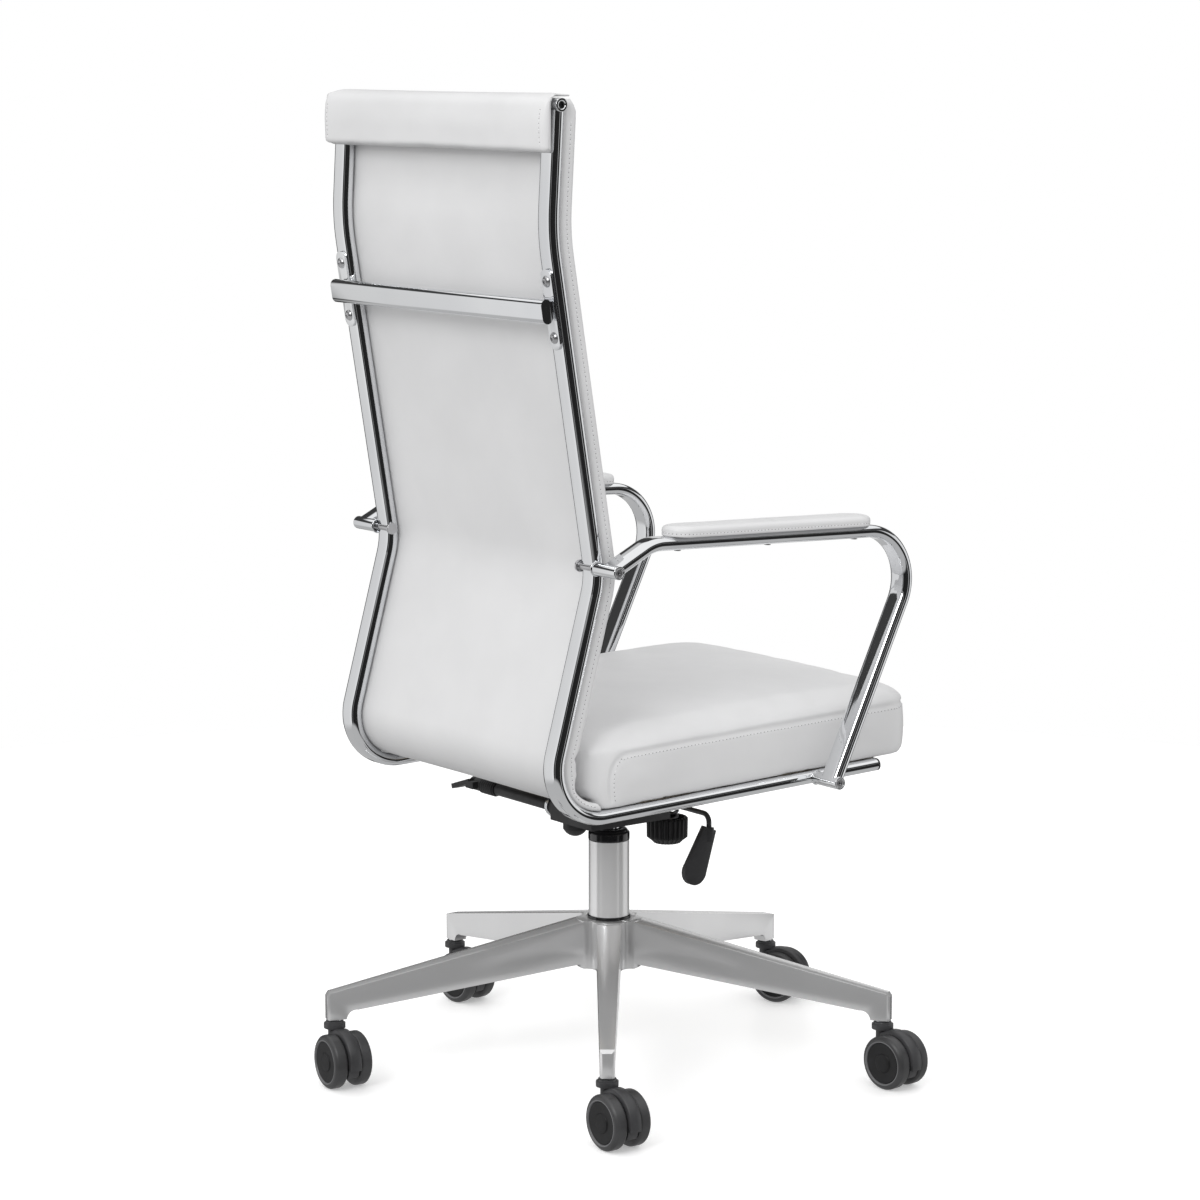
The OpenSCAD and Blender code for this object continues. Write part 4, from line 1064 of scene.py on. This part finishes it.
def limit_line():
    st = stations(RAIL_PATH, RAIL_BENDS, 3.0, 0.004)
    line = []
    for i, q in enumerate(st):
        if q[1] > SEAT_Z + 0.14:
            continue
        t = panel_thickness(i, st)
        p = beside(q, 0, -(TUBE_R + 0.0016 + t))
        line.append((p.y, p.z))
        if abs(abs(q[2]) - math.pi) < FLAT_TURN:
            break
    return line


LIMIT_LINE = limit_line()


def trim_rear(obj):
    for v in obj.data.vertices:
        limit = back_front_limit(v.co.z)
        if v.co.y > limit:
            v.co.y = limit


def fit_seat(obj, lo, hi):
    """Keeps the cushion clear of the padded back, the rails and the board below it."""
    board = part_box("seat_board")
    lip, recess = 0.010, 0.0106
    for v in obj.data.vertices:
        trim = back_front_limit(v.co.z)
        if v.co.y > trim:
            v.co.y = trim
        floor = seat_point(0, v.co.y, TUBE_R + GAP + 0.0006).z
        inside = abs(v.co.x) < board[1].x + 0.001 and board[0].y - 0.001 < v.co.y < board[1].y + 0.001
        dx = max(0.0, abs(v.co.x) - (hi.x - SEAT_SIDE_INSET - SEAT_CORNER))
        dy = max(0.0, lo.y + SEAT_FRONT_INSET + SEAT_CORNER - v.co.y)
        if inside and math.hypot(dx, dy) < SEAT_CORNER - lip:
            floor += recess
        if v.co.z < floor:
            v.co.z = floor


def press_down(obj, bottom, reach=0.018, drop=0.0068):
    """Flattens the lower edge of the cushion where it rests on the rails."""
    for v in obj.data.vertices:
        base = seat_point(0, v.co.y, bottom).z
        up = v.co.z - base
        if up < reach:
            v.co.z = base + max(0.0, up - drop * (1 - max(0.0, up) / reach))


def seam_line(tree, half, front, rear, bottom, side_top, corner):
    """Seam of the side band: up at a rear corner, round the top edge and down at the other."""
    up, turn, out = bottom + side_top - 0.006, 0.030, 0.006
    stand = rear - corner * 0.86
    side = [(stand, bottom + 0.003), (stand, up - turn)]
    side += [(stand - turn * (1 - math.cos(a)), up - turn * (1 - math.sin(a)))
             for a in (math.pi / 2 * k / 8 for k in range(1, 9))]
    pts = [seat_point(half + out, y, z) for y, z in side]
    for cx, a0 in ((half - corner, 0), (-half + corner, -90)):
        for k in range(13):
            a = math.radians(a0 - 90 * k / 12)
            pts.append(seat_point(cx + (corner + out) * math.cos(a),
                                  front + corner + (corner + out) * math.sin(a), up))
    pts += [seat_point(-half - out, y, z) for y, z in reversed(side)]
    return [tree.find_nearest(p)[0] for p in resample(pts, 0.005)]


def inward(p, seam, step):
    """Step from a seam point towards the middle of the band below it."""
    return Vector((0, -step, 0)) if p.y > seam[0].y - 0.012 else Vector((0, 0, -step))


def arm_pads():
    for s, side in ((-1, "right"), (1, "left")):
        node = f"arm_pad_{side}"
        lo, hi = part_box(node)
        length, wide, thick = 0.300, 0.046, 0.013
        slope = math.atan2(ARM_PATH[1][1] - ARM_PATH[2][1], ARM_PATH[1][0] - ARM_PATH[2][0])
        mid = (lo + hi) / 2
        frame_m = Matrix.Translation((mid.x, mid.y, mid.z)) @ Matrix.Rotation(slope, 4, "X")
        half_l, half_w = length / 2 - 0.0006, wide / 2 - 0.0006
        plan = []
        for k in range(72):
            a = TAU * k / 72
            y = math.copysign(half_l - half_w, math.sin(a)) + half_w * math.sin(a)
            plan.append((half_w * math.cos(a), y))
        plan = [p[:2] for p in resample([(x, y, 0) for x, y in plan + plan[:1]], 0.0035)][:-1]
        h = thick / 2
        rows = [(0.0010, -h + 0.0001), (0.0, -h + 0.0010), (0.0, -h + 0.0030), (0.0003, -h + 0.0040),
                (-0.0002, -h + 0.0055), (0.0002, h - 0.0045), (0.0016, h - 0.0024), (0.0040, h - 0.0011),
                (0.0075, h - 0.0004), (0.0120, h), (0.0170, h + 0.0002), (0.0210, h + 0.0002)]
        rings = []
        for inset, z in rows:
            ring = []
            for x, y in plan:
                fx = 1 - inset / half_w
                cy = math.copysign(max(0, abs(y) - inset), y)
                wave = 0.0003 * noise.noise(Vector((x * 60, y * 30, s * 4.0)))
                ring.append(frame_m @ Vector((x * fx, cy, z + wave)))
            rings.append(ring)
        obj = finish_mesh(f"arm_cushion_{side}", skin(rings), WHITE, "seat", [node])
        tree = tree_of(obj)
        line = [frame_m @ Vector((x, y, -h + 0.0038)) for x, y in plan + plan[:1]]
        sew(f"arm_cushion_stitch_{side}", line, tree, "seat", 0.0050, 0.0034, 0.00034)


# ---------- studio ----------

def world():
    """White to the camera and a soft even tent for diffuse light. Reflections see a roof light, a pale
    floor and dark walls with a few strip lights."""
    w = bpy.data.worlds.new("studio")
    bpy.context.scene.world = w
    w.use_nodes = True
    tree = w.node_tree
    tree.nodes.clear()
    add, link = tree.nodes.new, tree.links.new
    out, path = add("ShaderNodeOutputWorld"), add("ShaderNodeLightPath")
    seen, tent, mirror = (add("ShaderNodeBackground") for _ in range(3))
    coord, split = add("ShaderNodeTexCoord"), add("ShaderNodeSeparateXYZ")
    link(coord.outputs["Generated"], split.inputs[0])
    turn = add("ShaderNodeMath")
    turn.operation = "ARCTAN2"
    link(split.outputs["Y"], turn.inputs[0])
    link(split.outputs["X"], turn.inputs[1])
    share = add("ShaderNodeMapRange")
    share.inputs["From Min"].default_value, share.inputs["From Max"].default_value = -math.pi, math.pi
    link(turn.outputs[0], share.inputs["Value"])
    rise = add("ShaderNodeMapRange")
    rise.inputs["From Min"].default_value = -1.0
    link(split.outputs["Z"], rise.inputs["Value"])
    level = add("ShaderNodeMix")
    level.data_type = "RGBA"
    link(grey_ramp(tree, rise.outputs["Result"], BAND), level.inputs["Factor"])
    link(grey_ramp(tree, rise.outputs["Result"], ROOF), level.inputs[6])
    link(grey_ramp(tree, share.outputs["Result"], WALLS), level.inputs[7])
    link(level.outputs[2], mirror.inputs["Color"])
    link(grey_ramp(tree, rise.outputs["Result"], TENT), tent.inputs["Color"])
    seen.inputs["Color"].default_value = (1, 1, 1, 1)
    for node in (seen, tent, mirror):
        node.inputs["Strength"].default_value = 1.0
    first, second = add("ShaderNodeMixShader"), add("ShaderNodeMixShader")
    link(path.outputs["Is Glossy Ray"], first.inputs["Fac"])
    link(tent.outputs[0], first.inputs[1])
    link(mirror.outputs[0], first.inputs[2])
    link(path.outputs["Is Camera Ray"], second.inputs["Fac"])
    link(first.outputs[0], second.inputs[1])
    link(seen.outputs[0], second.inputs[2])
    link(second.outputs[0], out.inputs["Surface"])


def grey_ramp(tree, fac, stops):
    node = tree.nodes.new("ShaderNodeValToRGB")
    tree.links.new(fac, node.inputs["Fac"])
    e = node.color_ramp.elements
    for stop, (at, g) in zip(e, (stops[0], stops[-1])):
        stop.position, stop.color = at, (g, g, g, 1)
    for at, g in stops[1:-1]:
        e.new(at).color = (g, g, g, 1)
    return node.outputs["Color"]


# Walls seen in reflections: (share of a turn from -X through -Y, +X and +Y back to -X, grey level)
WALLS = [(0.0, 0.02), (0.030, 0.02), (0.036, 0.55), (0.050, 0.55), (0.056, 0.02), (0.130, 0.02),
         (0.145, 0.80), (0.24, 0.85), (0.26, 0.03), (0.330, 0.03), (0.345, 0.80), (0.40, 0.70),
         (0.41, 0.02), (0.530, 0.02), (0.545, 0.66), (0.622, 0.80), (0.690, 0.95), (0.700, 0.02),
         (0.760, 0.02), (0.766, 0.30), (0.776, 0.30), (0.782, 0.015), (1.0, 0.02)]
# Level where there are no walls, by height: straight down at 0, level at 0.5, straight up at 1
ROOF = [(0.0, 0.50), (0.40, 0.50), (0.5, 0.90), (0.625, 0.90), (0.650, 0.05), (0.765, 0.05), (0.79, 1.0),
        (1.0, 1.0)]
# Where the walls count, by the same height
BAND = [(0.28, 0.0), (0.33, 1.0), (0.625, 1.0), (0.645, 0.0)]
# The tent that lights everything softly, by the same height
TENT = [(0.0, 0.36), (0.42, 0.72), (0.5, 0.94), (0.75, 1.10), (1.0, 1.15)]
KEY_PLACE, KEY_TARGET, KEY_SIZE, KEY_WATTS = (-1.5, 3.2, 2.7), (0, 0, 0.9), (1.5, 1.5), 44
# The photo's camera: azimuth, elevation, distance from the target, focal length in pixels of 1200
VIEW_AZ, VIEW_EL, VIEW_DIST, FOCAL_PX = math.radians(233.13), math.radians(8.56), 4.271, 3533.0


def area(name, place, target, size, power):
    data = bpy.data.lights.new(name, "AREA")
    data.shape, data.size, data.size_y, data.energy = "RECTANGLE", size[0], size[1], power
    obj = bpy.data.objects.new(name, data)
    bpy.context.scene.collection.objects.link(obj)
    obj.location = place
    obj.rotation_euler = (Vector(target) - Vector(place)).to_track_quat("-Z", "Y").to_euler()


def floor():
    bm = bmesh.new()
    rings, segs = [0.0, 0.5, 1, 1.6, 2.2], 96
    rows = []
    for r in rings:
        rows.append([bm.verts.new((r * math.cos(TAU * k / segs), r * math.sin(TAU * k / segs), 0))
                     for k in range(segs if r else 1)])
    for a, b in zip(rows, rows[1:]):
        for k in range(segs):
            n = (k + 1) % segs
            f = [a[k % len(a)], b[k], b[n], a[n % len(a)]]
            bm.faces.new([v for i, v in enumerate(f) if v not in f[:i]])
    n = Nodes("pale_floor")
    n.colour(n.noise(1.2, 2), (0.90, 0.90, 0.90), (0.915, 0.915, 0.915))
    n.rough(n.noise(6), 0.30, 0.36)
    n.set(Specular_IOR_Level=0.25, Emission_Color=(1.0, 1.0, 1.0), Emission_Strength=0.32)
    obj = finish_mesh("studio_floor", bm, n.mat, None)
    obj.visible_glossy = False
    obj.visible_diffuse = False


def camera():
    data = bpy.data.cameras.new("photo_view")
    data.sensor_width = 36.0
    data.lens = FOCAL_PX / 1200 * data.sensor_width
    data.shift_x, data.shift_y = -0.0075, -0.0203
    data.clip_start, data.clip_end = 0.05, 60
    obj = bpy.data.objects.new("photo_view", data)
    bpy.context.scene.collection.objects.link(obj)
    target = Vector((0, 0, 0.6))
    level = math.cos(VIEW_EL)
    back = Vector((math.sin(VIEW_AZ) * level, -math.cos(VIEW_AZ) * level, math.sin(VIEW_EL)))
    obj.location = target + back * VIEW_DIST
    obj.rotation_euler = (-back).to_track_quat("-Z", "Y").to_euler()
    bpy.context.scene.camera = obj


bpy.context.scene.view_settings.view_transform = "Standard"
bpy.context.scene.view_settings.look = "None"
camera()
world()
floor()
area("key_softbox", KEY_PLACE, KEY_TARGET, KEY_SIZE, KEY_WATTS)
side_tubes()
crossbar()
column()
base()
casters()
knob()
mechanism()
back_panel()
head_wrap()
seat_cushion()
arm_pads()
